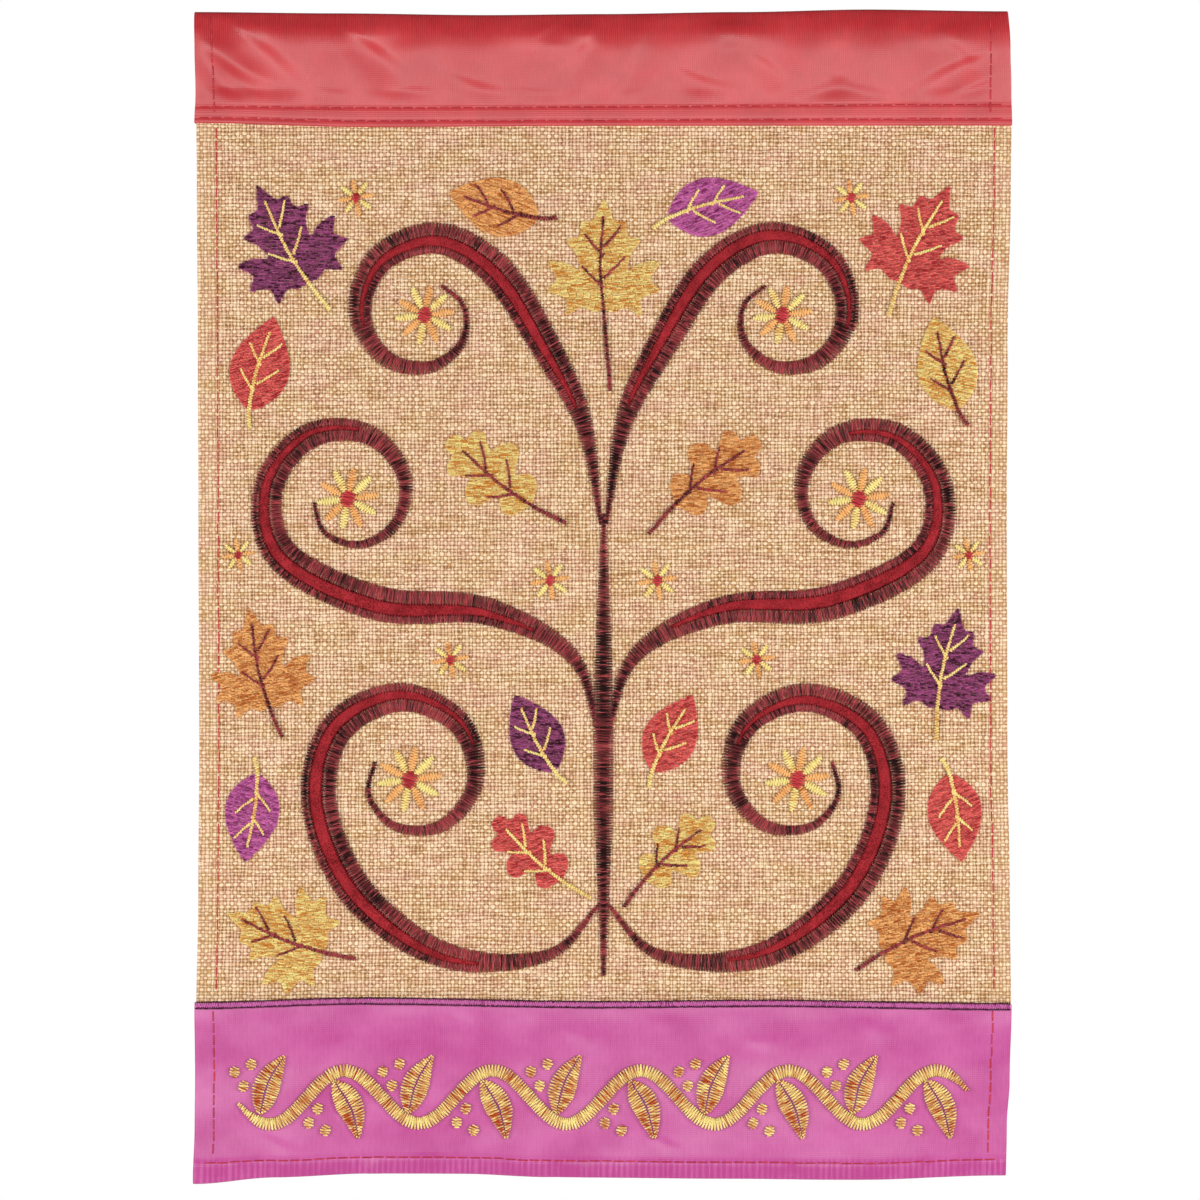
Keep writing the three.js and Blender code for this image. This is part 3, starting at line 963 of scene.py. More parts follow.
@dataclass(frozen=True)
class Turned:
    """The columns of a cloth whose sides are turned to the back, where a hem runs behind the front layer.

    Past the start of the turn the cloth follows a half circle to the back and then runs inwards again.
    """

    hem: float = 7.0
    radius: float = 0.3
    inner: int = 200
    turn_steps: int = 6
    hem_steps: int = 6

    def columns(self) -> tuple[np.ndarray, np.ndarray, np.ndarray]:
        """The columns from the left hem's raw edge to the right one's.

        Returns:
            Each column's share across the front from -1 to 1, its way past the turn's start in mm, and its
            depth behind the front layer in mm.
        """
        arc = np.pi * self.radius
        turn = np.linspace(0, arc, self.turn_steps + 1)[1:]
        past = np.concatenate([turn, arc + np.linspace(0, self.hem, self.hem_steps + 1)[1:]])
        share = np.concatenate([-np.ones(len(past)), np.linspace(-1, 1, self.inner), np.ones(len(past))])
        over = np.concatenate([past[::-1], np.zeros(self.inner), past])
        angle = np.clip(over / self.radius, 0.0, np.pi)
        return share, over, self.radius * (1.0 - np.cos(angle))

    def place(self, share: np.ndarray, over: np.ndarray, left: np.ndarray, right: np.ndarray) -> np.ndarray:
        """Each point's X, from its column and the cloth's two sides.

        Args:
            share: Shares across the front.
            over: Ways past the turn's start.
            left: The left side's X.
            right: The right side's X.
        Returns:
            X in mm.
        """
        middle, half = (left + right) / 2, (right - left) / 2 - self.radius
        angle = np.clip(over / self.radius, 0.0, np.pi)
        out = self.radius * np.sin(angle) - np.clip(over - np.pi * self.radius, 0.0, None)
        return middle + share * half + np.sign(share) * out * (over > 0)

    def sheet(
        self,
        name: str,
        places: tuple[np.ndarray, np.ndarray, np.ndarray],
        down: np.ndarray,
        material: bpy.types.Material,
        thickness: float,
    ) -> bpy.types.Object:
        """Writes the columns, swept down a cloth, as a sheet with half of its thickness to each side.

        Args:
            name: The sheet's name.
            places: Grids of X, Y and Z in mm.
            down: Each point's way down the flat cloth in mm.
            material: The finish.
            thickness: The cloth's thickness in mm.
        Returns:
            The sheet.
        """
        share, over, _ = self.columns()
        flat = share * (SHAPE.half_width - self.radius) + np.sign(share) * over
        uv = np.stack(np.broadcast_arrays(flat[None], down), axis=2).reshape(-1, 2)
        points = np.stack(places, axis=2).reshape(-1, 3)
        faces = grid_faces(*places[0].shape)[:, ::-1]
        sheet = write_mesh(name, points, faces, material, cloth_uv=uv)
        solid = sheet.modifiers.new("cloth_thickness", "SOLIDIFY")
        solid.thickness = thickness * MM
        solid.offset = 0.0
        return sheet


@dataclass
class BurlapPanel:
    """The burlap field, from inside the sleeve down behind the band, its side hems turned to the back."""

    thickness: float = 0.5
    rows: int = 120
    top_depth: float = 38.6
    turned: Turned = Turned(inner=110, hem_steps=5)

    def front(self, x: np.ndarray, z: np.ndarray) -> np.ndarray:
        """The Y of the burlap's front face: the hanging cloth's, less half of its solid's thickness."""
        return SHAPE.hang(x, z) - SHAPE.face_forward

    def back(self, x: np.ndarray, z: np.ndarray) -> np.ndarray:
        """The Y of the side hems' back face, two layers and the turn behind the front."""
        return self.front(x, z) + 2 * self.turned.radius + self.thickness

    def build(self) -> bpy.types.Object:
        """Sweeps the turned columns down the cloth.

        Returns:
            The sheet, which replaces its solid.
        """
        share, over, depth = self.turned.columns()
        down = np.linspace(0.0, 1.0, self.rows)[:, None]
        guess = (share * SHAPE.half_width)[None]
        top, low = SHAPE.sleeve_height(guess, self.top_depth), SHAPE.seam.read(guess) - SHAPE.lap
        z = top + (low - top) * down
        x = self.turned.place(share[None], over[None], SHAPE.burlap_left.read(z), SHAPE.burlap_right.read(z))
        y = self.front(x, z) + self.thickness / 2 + depth[None]
        piece = self.turned.sheet("burlap_cloth", (x, y, z), z, Burlap().material(), self.thickness)
        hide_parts("burlap_panel")
        return piece


@dataclass
class RodSleeve:
    """The coral sleeve: a strip folded over at the top and sewn through above the burlap's top edge."""

    thickness: float = 0.4
    seam_depth: float = 36.5
    upper_row: Edge = Edge((-160, -93, 160), (-36.4, -36.9, -35.7))
    lower_row: Edge = Edge((-160, -93, 160), (-40.7, -42.0, -41.2))
    groove: float = 0.22
    groove_reach: float = 0.8
    stitch_pitch: float = 4.7
    turn_radius: float = 0.26
    turn_return: float = 1.6
    tug: float = 0.35
    sewn_pinch: float = 0.45
    back_ripple: Ripple = Ripple(0.3, 17.0)
    ripples: tuple[Ripple, ...] = (Ripple(0.14, 9.3, 0.08), Ripple(0.08, 4.1, -0.15, 1.3))
    shoulders: tuple[Ripple, ...] = (Ripple(0.26, 13.0, start=0.5), Ripple(0.13, 6.1, start=2.0))
    shoulder_depth: float = 8.0
    turned: Turned = Turned(radius=0.24, inner=230, hem_steps=4, hem=6.8)
    section: tuple[tuple[float, float, float], ...] = (
        (0.5, -1.15, 1.1),
        (1.6, -2.0, 1.95),
        (3.5, -2.9, 2.95),
        (6.0, -3.8, 3.8),
        (8.0, -4.2, 4.2),
        (10.0, -4.35, 4.35),
        (13.0, -4.33, 4.4),
        (18.0, -3.95, 4.2),
        (25.0, -3.3, 3.65),
        (31.0, -2.6, 2.95),
        (35.0, -2.05, 2.45),
        (37.0, -1.85, 2.3),
        (39.5, -1.78, 2.35),
        (42.0, -1.65, 2.3),
        (43.5, -1.6, 2.3),
    )
    creases: tuple[Crease, ...] = crease_table(
        (-158, -8, -136, -33, 8.0, -0.7, 2.0),
        (-157, -14, -132, -33, 10.0, 1.45, 2.2),
        (-146, -6, -120, -33, 10.0, 1.2, -1.8, 0.5),
        (-139, -3, -126, -12, 8.0, -0.55, -1.0),
        (-93, -2, -86, -12, 9.0, -0.6),
        (-100, -9, -78, -30, 9.5, 1.0, -1.6, 0.5),
        (-62, -24, -34, -34, 7.5, 0.5, 1.5),
        (-24, -10, -16, -5, 5.5, 0.55),
        (-9, -3, -8, -13, 7.5, -0.5),
        (-3, -8, -12, -31, 6.5, 0.55, 1.5),
        (15, -12, 6, -33, 6.5, 0.5, -1.2),
        (46, -2, 50, -12, 8.5, -0.6),
        (28, -22, 50, -31, 7.0, 0.45, 1.4),
        (58, -17, 70, -30, 7.0, 0.5, -1.2),
        (76, -34, 96, -27, 8.5, 0.45, 1.4, 0.1, 1.0),
        (88, -27, 112, -34, 8.5, 0.45, 1.6, -0.1, 1.0),
        (149, -18, 122, -34, 8.0, 0.75, 1.5),
        (134, -8, 150, -20, 7.0, -0.4),
        (152, -27, 134, -36, 5.5, 0.4),
        (-112, -30, -96, -33, 5.5, 0.25, 0.8),
        (-84, -31, -64, -33, 5.5, 0.25, -0.8),
        (-34, -30, -14, -33, 5.5, 0.22, 0.8),
    )

    def outline(self) -> np.ndarray:
        """The strip's section from inside its back lower edge, over the top, to inside its front lower edge.

        A smooth curve through the section's rows, with a half circle and a short return at each lower edge.

        Returns:
            Rows of Y and depth in mm, of the middle of the strip's thickness.
        """
        rows = np.array(self.section)
        back, front = rows[::-1, [2, 0]], rows[:, [1, 0]]
        curve = smooth_path(np.vstack([back, [[0.0, 0.0]], front]), step=0.55)
        inward = normals(curve)
        curve = curve - inward * self.thickness / 2
        curve = curve[(curve[:, 0] < 0.0) | (np.arange(len(curve)) % 3 == 0)]
        angle = np.linspace(0.0, np.pi, 6)[1:]
        radius = self.turn_radius
        ends = []
        for edge, side in ((curve[0], -1.0), (curve[-1], 1.0)):
            across = edge[0] + side * radius * (1 - np.cos(angle))
            turn = np.stack([across, edge[1] + radius * np.sin(angle)], axis=1)
            ends.append(np.vstack([turn, turn[-1] - [0.0, self.turn_return]]))
        return np.vstack([ends[0][::-1], curve, ends[1]])

    def front(self, x: np.ndarray, z: np.ndarray) -> np.ndarray:
        """The Y of the sleeve's front face at a height.

        Args:
            x: X of the points in mm.
            z: Their heights in mm.
        Returns:
            Y in mm.
        """
        rows = np.array(self.section)
        depth = self.depth(x, z)
        flat = np.interp(depth, rows[:, 0], rows[:, 1])
        return flat + self.loose(depth) * self.crease(x, z) + self.sewn(x, z)

    def depth(self, x: np.ndarray, z: np.ndarray) -> np.ndarray:
        """How deep below the top fold a point of the sleeve lies, found in two steps from its height."""
        depth = SHAPE.top_fold.read(x) - z
        return depth + (SHAPE.sleeve_height(x, depth) - z)

    def back(self, x: np.ndarray, z: np.ndarray) -> np.ndarray:
        """The Y of the sleeve's back face at a height."""
        rows = np.array(self.section)
        return np.interp(self.depth(x, z), rows[:, 0], rows[:, 2])

    def sewn(self, x: np.ndarray, z: np.ndarray) -> np.ndarray:
        """How far the two rows draw the front back: a narrow bump at each, deeper at every needle hole.

        Args:
            x: X of the points in mm.
            z: Their heights in mm.
        Returns:
            Depths in mm.
        """
        tug = 1.0 + self.tug * np.cos(math.tau * x / self.stitch_pitch)
        rows = (self.upper_row, self.lower_row)
        return self.groove * tug * sum(bump((z - row.read(x)) / self.groove_reach) for row in rows)

    def loose(self, depth: np.ndarray) -> np.ndarray:
        """How free the front is to crease: all the way between the top fold and the seam, and not at them."""
        return ease((depth - 2.0) / 4.0) * ease((self.seam_depth - depth) / 7.5)

    def crease(self, x: np.ndarray, z: np.ndarray) -> np.ndarray:
        """How far the creases and a slow unevenness push the front back.

        Args:
            x: X of the points in mm.
            z: Their heights in mm.
        Returns:
            Depths in mm.
        """
        moved = sum(part.depth(x, z) for part in (*self.creases, *self.ripples))
        shoulder = sum(ripple.depth(x, z) for ripple in self.shoulders)
        return moved + shoulder * bump((z + self.shoulder_depth) / self.shoulder_depth)

    def build(self) -> bpy.types.Object:
        """Sweeps the section along the sleeve, with the sides turned to its inside.

        Returns:
            The sheet, which replaces its solid.
        """
        section = self.outline()
        inward = normals(section)
        inward *= -np.sign(inward[np.argmin(section[:, 1])] @ np.array([0.0, -1.0]))
        share, over, depth = self.turned.columns()
        guess = share[None] * SHAPE.half_width
        pinch = np.where(section[:, 1] < self.seam_depth, 1.0, self.sewn_pinch)[:, None]
        base_y = section[:, :1] + inward[:, :1] * depth[None] * pinch
        base_d = section[:, 1:] + inward[:, 1:] * depth[None] * pinch
        z = SHAPE.sleeve_height(guess, base_d)
        x = self.turned.place(share[None], over[None], SHAPE.sleeve_left.read(z), SHAPE.sleeve_right.read(z))
        front = (base_y < 0) & (base_d < SHAPE.sleeve_depth - 0.1)
        loose = self.loose(base_d)
        moved = loose * self.crease(x, z) + self.sewn(x, z)
        y = base_y + np.where(front, moved, self.back_ripple.depth(x, z) * loose)
        satin = Satin(
            "coral_polyester_satin", colour="#ca393e", deep="#b0242a", gathered=(-13.0, -8.0), rib_pitch=0.85,
            gather_painted_shade=0.0,
        )
        down = travelled(section)[:, None]
        piece = self.turned.sheet("sleeve_cloth", (x, y, z), down, satin.material(), self.thickness)
        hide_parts("rod_sleeve")
        return piece


@dataclass
class FootBand:
    """The magenta band: lapped over the burlap's lower edge, with its sides and foot turned to the back."""

    thickness: float = 0.4
    rows: int = 84
    foot_hem: float = 6.8
    foot_radius: float = 0.62
    over_burlap: float = 0.9
    ripples: tuple[Ripple, ...] = (Ripple(0.1, 6.1, 0.1), Ripple(0.08, 14.0, -0.3))
    gather_height: float = 0.08
    gather_length: float = 0.93
    row_groove: float = 0.25
    row_groove_reach: float = 1.5
    hem_slope: float = 0.11
    turned: Turned = Turned(radius=0.24, inner=260, hem_steps=4, hem=6.8)
    creases: tuple[Crease, ...] = crease_table(
        (-104, -430, -94, -432, 4.0, 0.4),
        (-15, -398, 0, -402, 5.0, 0.5),
        (56, -402, 70, -403, 4.0, 0.35),
        (-60, -391, -52, -400, 5.0, -0.35),
        (102, -395, 112, -401, 5.0, 0.35),
        (-132, -440, -122, -446, 4.0, 0.35),
        (20, -440, 30, -446, 4.0, 0.35),
        (-95, -452, -88, -456, 5.0, -0.5),
        (-18, -450, -18, -458, 4.0, 0.5),
        (-8, -450, -7, -458, 3.5, -0.4),
        (-142, -451, -138, -457, 5.0, 0.4),
        (73, -450, 75, -457, 4.5, 0.45),
        (128, -449, 126, -456, 4.5, 0.4),
    )

    def front(self, x: np.ndarray, z: np.ndarray) -> np.ndarray:
        """The Y of the band's front face: the hanging cloth's, less the lap, with the band's own creases.

        Args:
            x: X of the points in mm.
            z: Their heights in mm.
        Returns:
            Y in mm.
        """
        below = SHAPE.seam.read(x) - z
        free = ease((below - 3.0) / 6.0)
        under = self.foot_row(x) - z
        uneven = 0.6 + 0.4 * np.sin(x / 11.0 + 1.0) * np.sin(x / 4.3)
        waves = np.sin(x / self.gather_length + 2.6 * np.sin(x / 7.0) + 1.7 * np.sin(x / 3.1))
        gathers = self.gather_height * uneven * waves * ease(under / 2.0)
        groove = self.row_groove * bump(under / self.row_groove_reach)
        drawn = groove + self.hem_slope * np.clip(under, 0.0, 6.0) + gathers
        moved = free * sum(part.depth(x, z) for part in (*self.ripples, *self.creases)) + drawn
        return SHAPE.hang(x, z) - SHAPE.band_forward(below) - SHAPE.face_forward + moved

    def back(self, x: np.ndarray, z: np.ndarray) -> np.ndarray:
        """The Y of the side hems' back face, two layers and the turn behind the front."""
        return self.front(x, z) + 2 * self.turned.radius + self.thickness

    def foot_row(self, x: np.ndarray) -> np.ndarray:
        """The height of the row that holds the foot hem."""
        return SHAPE.foot.read(x) + 6.4 + 1.6 * ease((-x - 120.0) / 40.0)

    def build(self) -> bpy.types.Object:
        """Sweeps the turned columns down the band and round the turn of its foot.

        Round the foot a layer that lies some depth behind the front one follows a smaller half circle.

        Returns:
            The sheet, which replaces its solid.
        """
        share, over, depth = self.turned.columns()
        guess = share[None] * SHAPE.half_width
        top, low = SHAPE.seam.read(guess) - self.over_burlap, SHAPE.foot.read(guess) + self.foot_radius
        arc = np.pi * self.foot_radius
        past = np.concatenate([np.linspace(0, arc, 8)[1:], arc + np.linspace(0, self.foot_hem, 6)[1:]])
        down = np.concatenate([np.linspace(0, 1, self.rows), np.ones(len(past))])[:, None]
        past = np.concatenate([np.zeros(self.rows), past])[:, None]
        angle = np.clip(past / self.foot_radius, 0.0, np.pi)
        radius = self.foot_radius - depth[None]
        z = top + (low - top) * down - radius * np.sin(angle) + np.clip(past - arc, 0.0, None)
        behind = self.foot_radius - radius * np.cos(angle)
        level = np.maximum(z, low)
        left, right = SHAPE.band_left.read(level), SHAPE.band_right.read(level)
        x = self.turned.place(share[None], over[None], left, right)
        y = self.front(x, z) + self.thickness / 2 + behind
        flat = (top + (low - top) * down) - past
        satin = Satin(
            "magenta_polyester_satin", colour="#c85f9f", deep="#b33c85", gathered=(-448.0, -451.0),
            rib_pitch=2.3, ribs_elsewhere=0.1,
        )
        piece = self.turned.sheet("band_cloth", (x, y, z), flat, satin.material(), self.thickness)
        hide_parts("foot_band")
        return piece


@dataclass
class SeamEdging:
    """The raised edging over the seam: close satin stitches round a padded core."""

    tall: float = 2.9
    puff: float = 0.26
    shade_line_half: float = 0.34
    band: FootBand = field(default_factory=FootBand)

    def build(self) -> list[bpy.types.Object]:
        """Zigzags up and down along the seam, and then narrowly along both of the column's edges.

        Returns:
            The edging, which replaces its solid, and its two dark edge lines, partly painted shade.
        """
        ends = np.array([[-SHAPE.half_width, 0.0], [SHAPE.half_width - 0.4, 0.0]])
        path = smooth_path(np.linspace(ends[0], ends[1], 40))
        path[:, 1] = SHAPE.seam.read(path[:, 0]) - self.tall / 2
        heap = Stitches(self.rest, wide=0.5, shine=0.2, glint=0.4)
        # Dark plum lines along both edges of the column: partly a dark border, and partly painted shade where
        # the cord turns away.
        shade_lines = Stitches(self.rest, wide=0.42, shine=0.1, glint=0.3, shares=(0.1, 0.5, 0.9))
        half = np.full(len(path), self.tall / 2 - 0.25)
        work = Embroiderer(seed=11, pitch=0.86, uneven=0.1)
        work.column(heap, path, half, -half, lift=0.3, puff=self.puff, middle=0.85)
        for edge in (1.0, -1.0):
            middle = np.full(len(path), edge * (self.tall / 2 - 0.3))
            edges = middle + self.shade_line_half, middle - self.shade_line_half
            work.column(shade_lines, path, *edges, lift=0.5, puff=0.2, middle=0.35)
        piece = heap.write("seam_satin_edging", Dye.ORCHID)
        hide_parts("seam_edging")
        return [piece, shade_lines.write("seam_edging_shade_lines", Dye.PLUM)]

    def rest(self, x: np.ndarray, z: np.ndarray) -> np.ndarray:
        """The Y of the band's front face at the seam, which the whole edging lies on at any height."""
        return self.band.front(x, SHAPE.seam.read(x) - self.tall / 2)


@dataclass
class Topstitching:
    """The rows of running stitches that hold the hems and the sleeve, on the front and on the back."""

    length: float = 4.35
    pitch: float = 4.7
    sleeve_across: tuple[float, float] = (-158.5, 158.3)
    sleeve_down: tuple[float, float] = (-1.5, -43.0)
    sleeve_sides: tuple[float, float] = (-153.6, 151.5)
    sleeve_lean: float = 0.03
    burlap_down: tuple[float, float] = (-44.5, -384.5)
    burlap_insets: tuple[float, float] = (7.5, 6.4)
    band_down: tuple[float, float] = (-390.5, -450.0)
    band_insets: tuple[float, float] = (7.3, 7.2)
    foot_across: tuple[float, float] = (-156.0, 154.5)
    sleeve: RodSleeve = field(default_factory=RodSleeve)
    burlap: BurlapPanel = field(default_factory=BurlapPanel)
    band: FootBand = field(default_factory=FootBand)

    def row(self, heap: Stitches, path: np.ndarray, draw: np.random.Generator) -> None:
        """Runs stitches along a path, each a fixed length with a small gap after it.

        Args:
            heap: The stitches to add to.
            path: The row's points in mm.
            draw: The source of small unevenness.
        """
        steps = travelled(path)
        begins = np.arange(0.0, steps[-1] - self.length, self.pitch)
        ends = [
            np.stack([np.interp(begins + way, steps, path[:, i]) for i in (0, 1)], axis=1)
            for way in (0.0, self.length)
        ]
        wobble = draw.normal(0.0, 0.08, (len(begins), 2))
        heap.add(ends[0] + wobble, ends[1] + wobble, 0.03, 0.05, draw.normal(0.55, 0.12, len(begins)))

    def rows(self) -> dict[str, list[np.ndarray]]:
        """The rows on each cloth.

        Returns:
            For each cloth's name, paths of X and Z in mm.
        """
        across, foot = (np.linspace(*span, 120) for span in (self.sleeve_across, self.foot_across))
        upper, lower = self.sleeve.upper_row, self.sleeve.lower_row
        down = np.linspace(*self.sleeve_down, 30)
        left, right = self.sleeve_sides
        return {
            "sleeve": [
                np.stack([across, upper.read(across)], axis=1),
                np.stack([across, lower.read(across)], axis=1),
                np.stack([left - self.sleeve_lean * (down - down[0]), down], axis=1),
                np.stack([np.full(len(down), right), down], axis=1),
            ],
            "burlap": self.sides(
                SHAPE.burlap_left, SHAPE.burlap_right, self.burlap_insets, np.linspace(*self.burlap_down, 80)
            ),
            "band": [
                *self.sides(
                    SHAPE.band_left, SHAPE.band_right, self.band_insets, np.linspace(*self.band_down, 30)
                ),
                np.stack([foot, self.band.foot_row(foot)], axis=1),
            ],
        }

    def sides(
        self, left: Edge, right: Edge, insets: tuple[float, float], down: np.ndarray
    ) -> list[np.ndarray]:
        """The two rows that hold a cloth's side hems.

        Args:
            left: The cloth's left edge.
            right: Its right edge.
            insets: How far inside each edge its row runs, in mm.
            down: The rows' heights in mm.
        Returns:
            The left row and the right one.
        """
        left_x, right_x = left.read(down) + insets[0], right.read(down) - insets[1]
        return [np.stack([x, down], axis=1) for x in (left_x, right_x)]

    def build(self) -> list[bpy.types.Object]:
        """Sews every row on both faces.

        Returns:
            One piece for each face of each cloth.
        """
        draw = np.random.default_rng(5)
        before = {"sleeve": self.sleeve.front, "burlap": self.burlap.front, "band": self.band.front}
        behind = {"sleeve": self.sleeve.back, "burlap": self.burlap.back, "band": self.band.back}
        pieces = []
        for side, surfaces, label in ((FRONT, before, "front"), (BACK, behind, "back")):
            for cloth, paths in self.rows().items():
                # Faint painted glints and no painted side light on the running stitches.
                heap = Stitches(
                    surfaces[cloth], side=side, wide=0.52, thick=0.2, dive=0.1, shine=0.0, glint=0.2,
                    shares=(0.08, 0.5, 0.92),
                )
                for path in paths:
                    self.row(heap, path, draw)
                pieces.append(heap.write(f"topstitch_{cloth}_{label}", Dye.SCARLET))
        return pieces


class LeafKind(Enum):
    """The leaves' outlines, each worked out or placed as half a leaf, from its base to its tip."""

    OVATE = "ovate"
    OAK = "oak"
    LOBED = "lobed"

    def half(self) -> np.ndarray:
        """Half of the outline of a leaf one unit long, as its way along and its way out.

        An ovate leaf is a sine, fuller near its base. An oak leaf and a lobed leaf are each a curve through
        the tips and hollows of their lobes.

        Returns:
            Rows of along and out.
        """
        t = np.linspace(0.0, 1.0, 70)
        if self is LeafKind.OVATE:
            return np.stack([t, 0.33 * np.sin(np.pi * t**0.85) ** 0.85 * (1.0 - 0.15 * t)], axis=1)
        oak = (
            (0.0, 0.0), (0.05, 0.05), (0.1, 0.17), (0.19, 0.22), (0.27, 0.17), (0.31, 0.12), (0.36, 0.19),
            (0.42, 0.31), (0.52, 0.33), (0.6, 0.25), (0.62, 0.16), (0.69, 0.19), (0.78, 0.25), (0.86, 0.2),
            (0.87, 0.1), (0.93, 0.09), (0.99, 0.06), (1.0, 0.0),
        )
        lobed = (
            (0.0, 0.0), (-0.02, 0.09), (0.02, 0.2), (-0.05, 0.33), (0.1, 0.34), (0.17, 0.5), (0.28, 0.42),
            (0.42, 0.5), (0.42, 0.34), (0.36, 0.22), (0.5, 0.25), (0.62, 0.33), (0.66, 0.22), (0.78, 0.2),
            (0.8, 0.1), (0.9, 0.05), (1.0, 0.0),
        )
        return smooth_path(np.array(oak if self is LeafKind.OAK else lobed), step=0.015)


@dataclass(frozen=True)
class Leaf:
    """A leaf: its kind, its middle, the direction of its tip, its length and the slant of its stitches."""

    kind: LeafKind
    x: float
    z: float
    angle: float
    length: float
    dye: Dye
    slant: float
    stem: float = 0.34
    bend: float = 0.03
    rib_width: tuple[float, float] = (1.9, 1.1)
    vein_width: tuple[float, float] = (1.35, 0.85)

    def place(self, local: np.ndarray) -> np.ndarray:
        """Turns points along and out of a unit leaf into X and Z in mm.

        Args:
            local: Rows of along and out.
        Returns:
            Rows of X and Z.
        """
        turn = math.radians(self.angle)
        basis = np.array([[math.cos(turn), math.sin(turn)], [-math.sin(turn), math.cos(turn)]])
        return (local - [0.5, 0.0]) * self.length @ basis + [self.x, self.z]

    def sew(self, spool: Spool, work: Embroiderer) -> None:
        """Fills the leaf, then lays its rib, stem and four side veins on top in satin.

        Args:
            spool: The cloth's stitches.
            work: The embroiderer.
        """
        half = self.kind.half()
        outline = self.place(np.vstack([half, half[::-1] * [1.0, -1.0]]))
        work.fill(spool.take(self.dye), outline, self.slant)
        vein_dye = Dye.MAROON if self.dye in (Dye.GOLD, Dye.ORANGE) else Dye.GOLD
        rib = np.array([[-self.stem, -2 * self.bend], [0.0, 0.0], [0.4, self.bend], [0.84, 0.0]])
        veins = [(rib, *self.rib_width)]
        for at, side in ((0.2, 1.0), (0.28, -1.0), (0.48, 1.0), (0.56, -1.0)):
            reach = 0.2 - 0.1 * (at - 0.2)
            vein = np.array([[at, 0.0], [at + 0.1, 0.55 * side * reach], [at + 0.2, side * reach]])
            veins.append((vein, *self.vein_width))
        for knots, wide, narrow in veins:
            path = smooth_path(self.place(knots))
            half_wide = np.linspace(wide, narrow, len(path)) / 2
            shade = 0.6 if vein_dye is Dye.GOLD else 0.3
            work.column(spool.take(vein_dye), path, half_wide, -half_wide, lift=0.5, puff=0.06, middle=shade)


@dataclass(frozen=True)
class Daisy:
    """A small flower: lens-shaped satin petals round a filled middle."""

    x: float
    z: float
    radius: float
    petals: int

    def sew(self, spool: Spool, work: Embroiderer) -> None:
        """Sews the petals, gold and orange in turn, and then the middle.

        Args:
            spool: The cloth's stitches.
            work: The embroiderer.
        """
        middle = np.array([self.x, self.z])
        for k in range(self.petals):
            angle = math.tau * (k + 0.2) / self.petals
            ray = np.array([math.cos(angle), math.sin(angle)])
            path = smooth_path(np.array([middle + 0.18 * self.radius * ray, middle + self.radius * ray]))
            share = np.linspace(0.0, 1.0, len(path))
            half = 0.13 * self.radius * np.sin(np.pi * (0.06 + 0.88 * share)) ** 0.8 + 0.15
            dye = Dye.GOLD if k % 2 else Dye.ORANGE
            work.column(spool.take(dye), path, half, -half, lift=0.25, puff=0.08, middle=0.75)
        work.dot(spool.take(Dye.CRIMSON), middle, 0.27 * self.radius, lift=0.5, shade=0.6)


@dataclass(frozen=True)
class Scroll:
    """A thick and thin scroll: a stem that swells and winds into a volute, with a slit in its widest part."""

    stem: tuple[tuple[float, float], ...]
    centre: tuple[float, float]
    radius: float
    start: float
    turns: float
    hand: int
    belly: float
    hair: float = 1.7
    peak: float = 0.4
    tight: float = 0.4
    slit_from: float = 8.0
    slit_share: float = 0.74
    slit_aside: float = 0.09

    def path(self, mirror: int) -> np.ndarray:
        """The centreline: the stem's points, then a spiral whose radius shrinks evenly with its angle.

        Args:
            mirror: 1 for the right-hand scroll and -1 for the left-hand one.
        Returns:
            Points in mm.
        """
        share = np.linspace(0.0, 1.0, int(self.turns * 8) + 1)
        angle = math.radians(self.start) + self.hand * share * self.turns * math.tau
        radius = self.radius * (1.0 - (1.0 - self.tight) * share)
        spiral = self.centre + radius[:, None] * np.stack([np.cos(angle), np.sin(angle)], axis=1)
        return smooth_path(np.vstack([self.stem, spiral])) * [mirror, 1.0]

    def widths(self, count: int) -> np.ndarray:
        """The stroke's width: a hair at both ends, and a sine's quarter up to the belly and down again.

        Args:
            count: How many points the stroke has.
        Returns:
            Widths in mm.
        """
        s = np.linspace(0.0, 1.0, count)
        rise = np.sin(0.5 * np.pi * s / self.peak)
        fall = np.cos(0.5 * np.pi * (s - self.peak) / (1 - self.peak))
        swell = np.clip(np.where(s < self.peak, rise, fall), 0.0, 1.0) ** 1.3
        return self.hair + (self.belly - self.hair) * swell

    def sew(self, spool: Spool, work: Embroiderer, mirror: int) -> tuple[np.ndarray, np.ndarray]:
        """Sews one column where the stroke is narrow, and two beside the slit where it is wide.

        Args:
            spool: The cloth's stitches.
            work: The embroiderer.
            mirror: 1 or -1.
        Returns:
            The centreline of the slit and its width at each point.
        """
        path = self.path(mirror)
        wide = self.widths(len(path))
        slit = np.clip((wide - self.slit_from) * self.slit_share, 0.0, None)
        aside = self.slit_aside * wide
        open_slit = slit > 0.5
        heap = spool.take(Dye.MAROON)
        near, far = aside + slit / 2, aside - slit / 2
        first = int(np.argmax(open_slit)) if open_slit.any() else len(path)
        last = len(path) - int(np.argmax(open_slit[::-1])) if open_slit.any() else len(path)
        for a, b in ((0, first), (last, len(path))):
            if b - a > 4:
                work.column(heap, path[a:b], wide[a:b] / 2, -wide[a:b] / 2, 0.25, 0.07, middle=0.19)
        if last > first:
            part = slice(max(first - 2, 0), min(last + 2, len(path)))
            work.column(heap, path[part], wide[part] / 2, near[part], 0.3, 0.1, middle=0.19)
            work.column(heap, path[part], far[part], -wide[part] / 2, 0.3, 0.1, middle=0.19)
        middle = path + normals(path) * aside[:, None]
        reach = slice(max(first - 12, 0), min(last + 12, len(path)))
        return middle[reach], slit[reach]


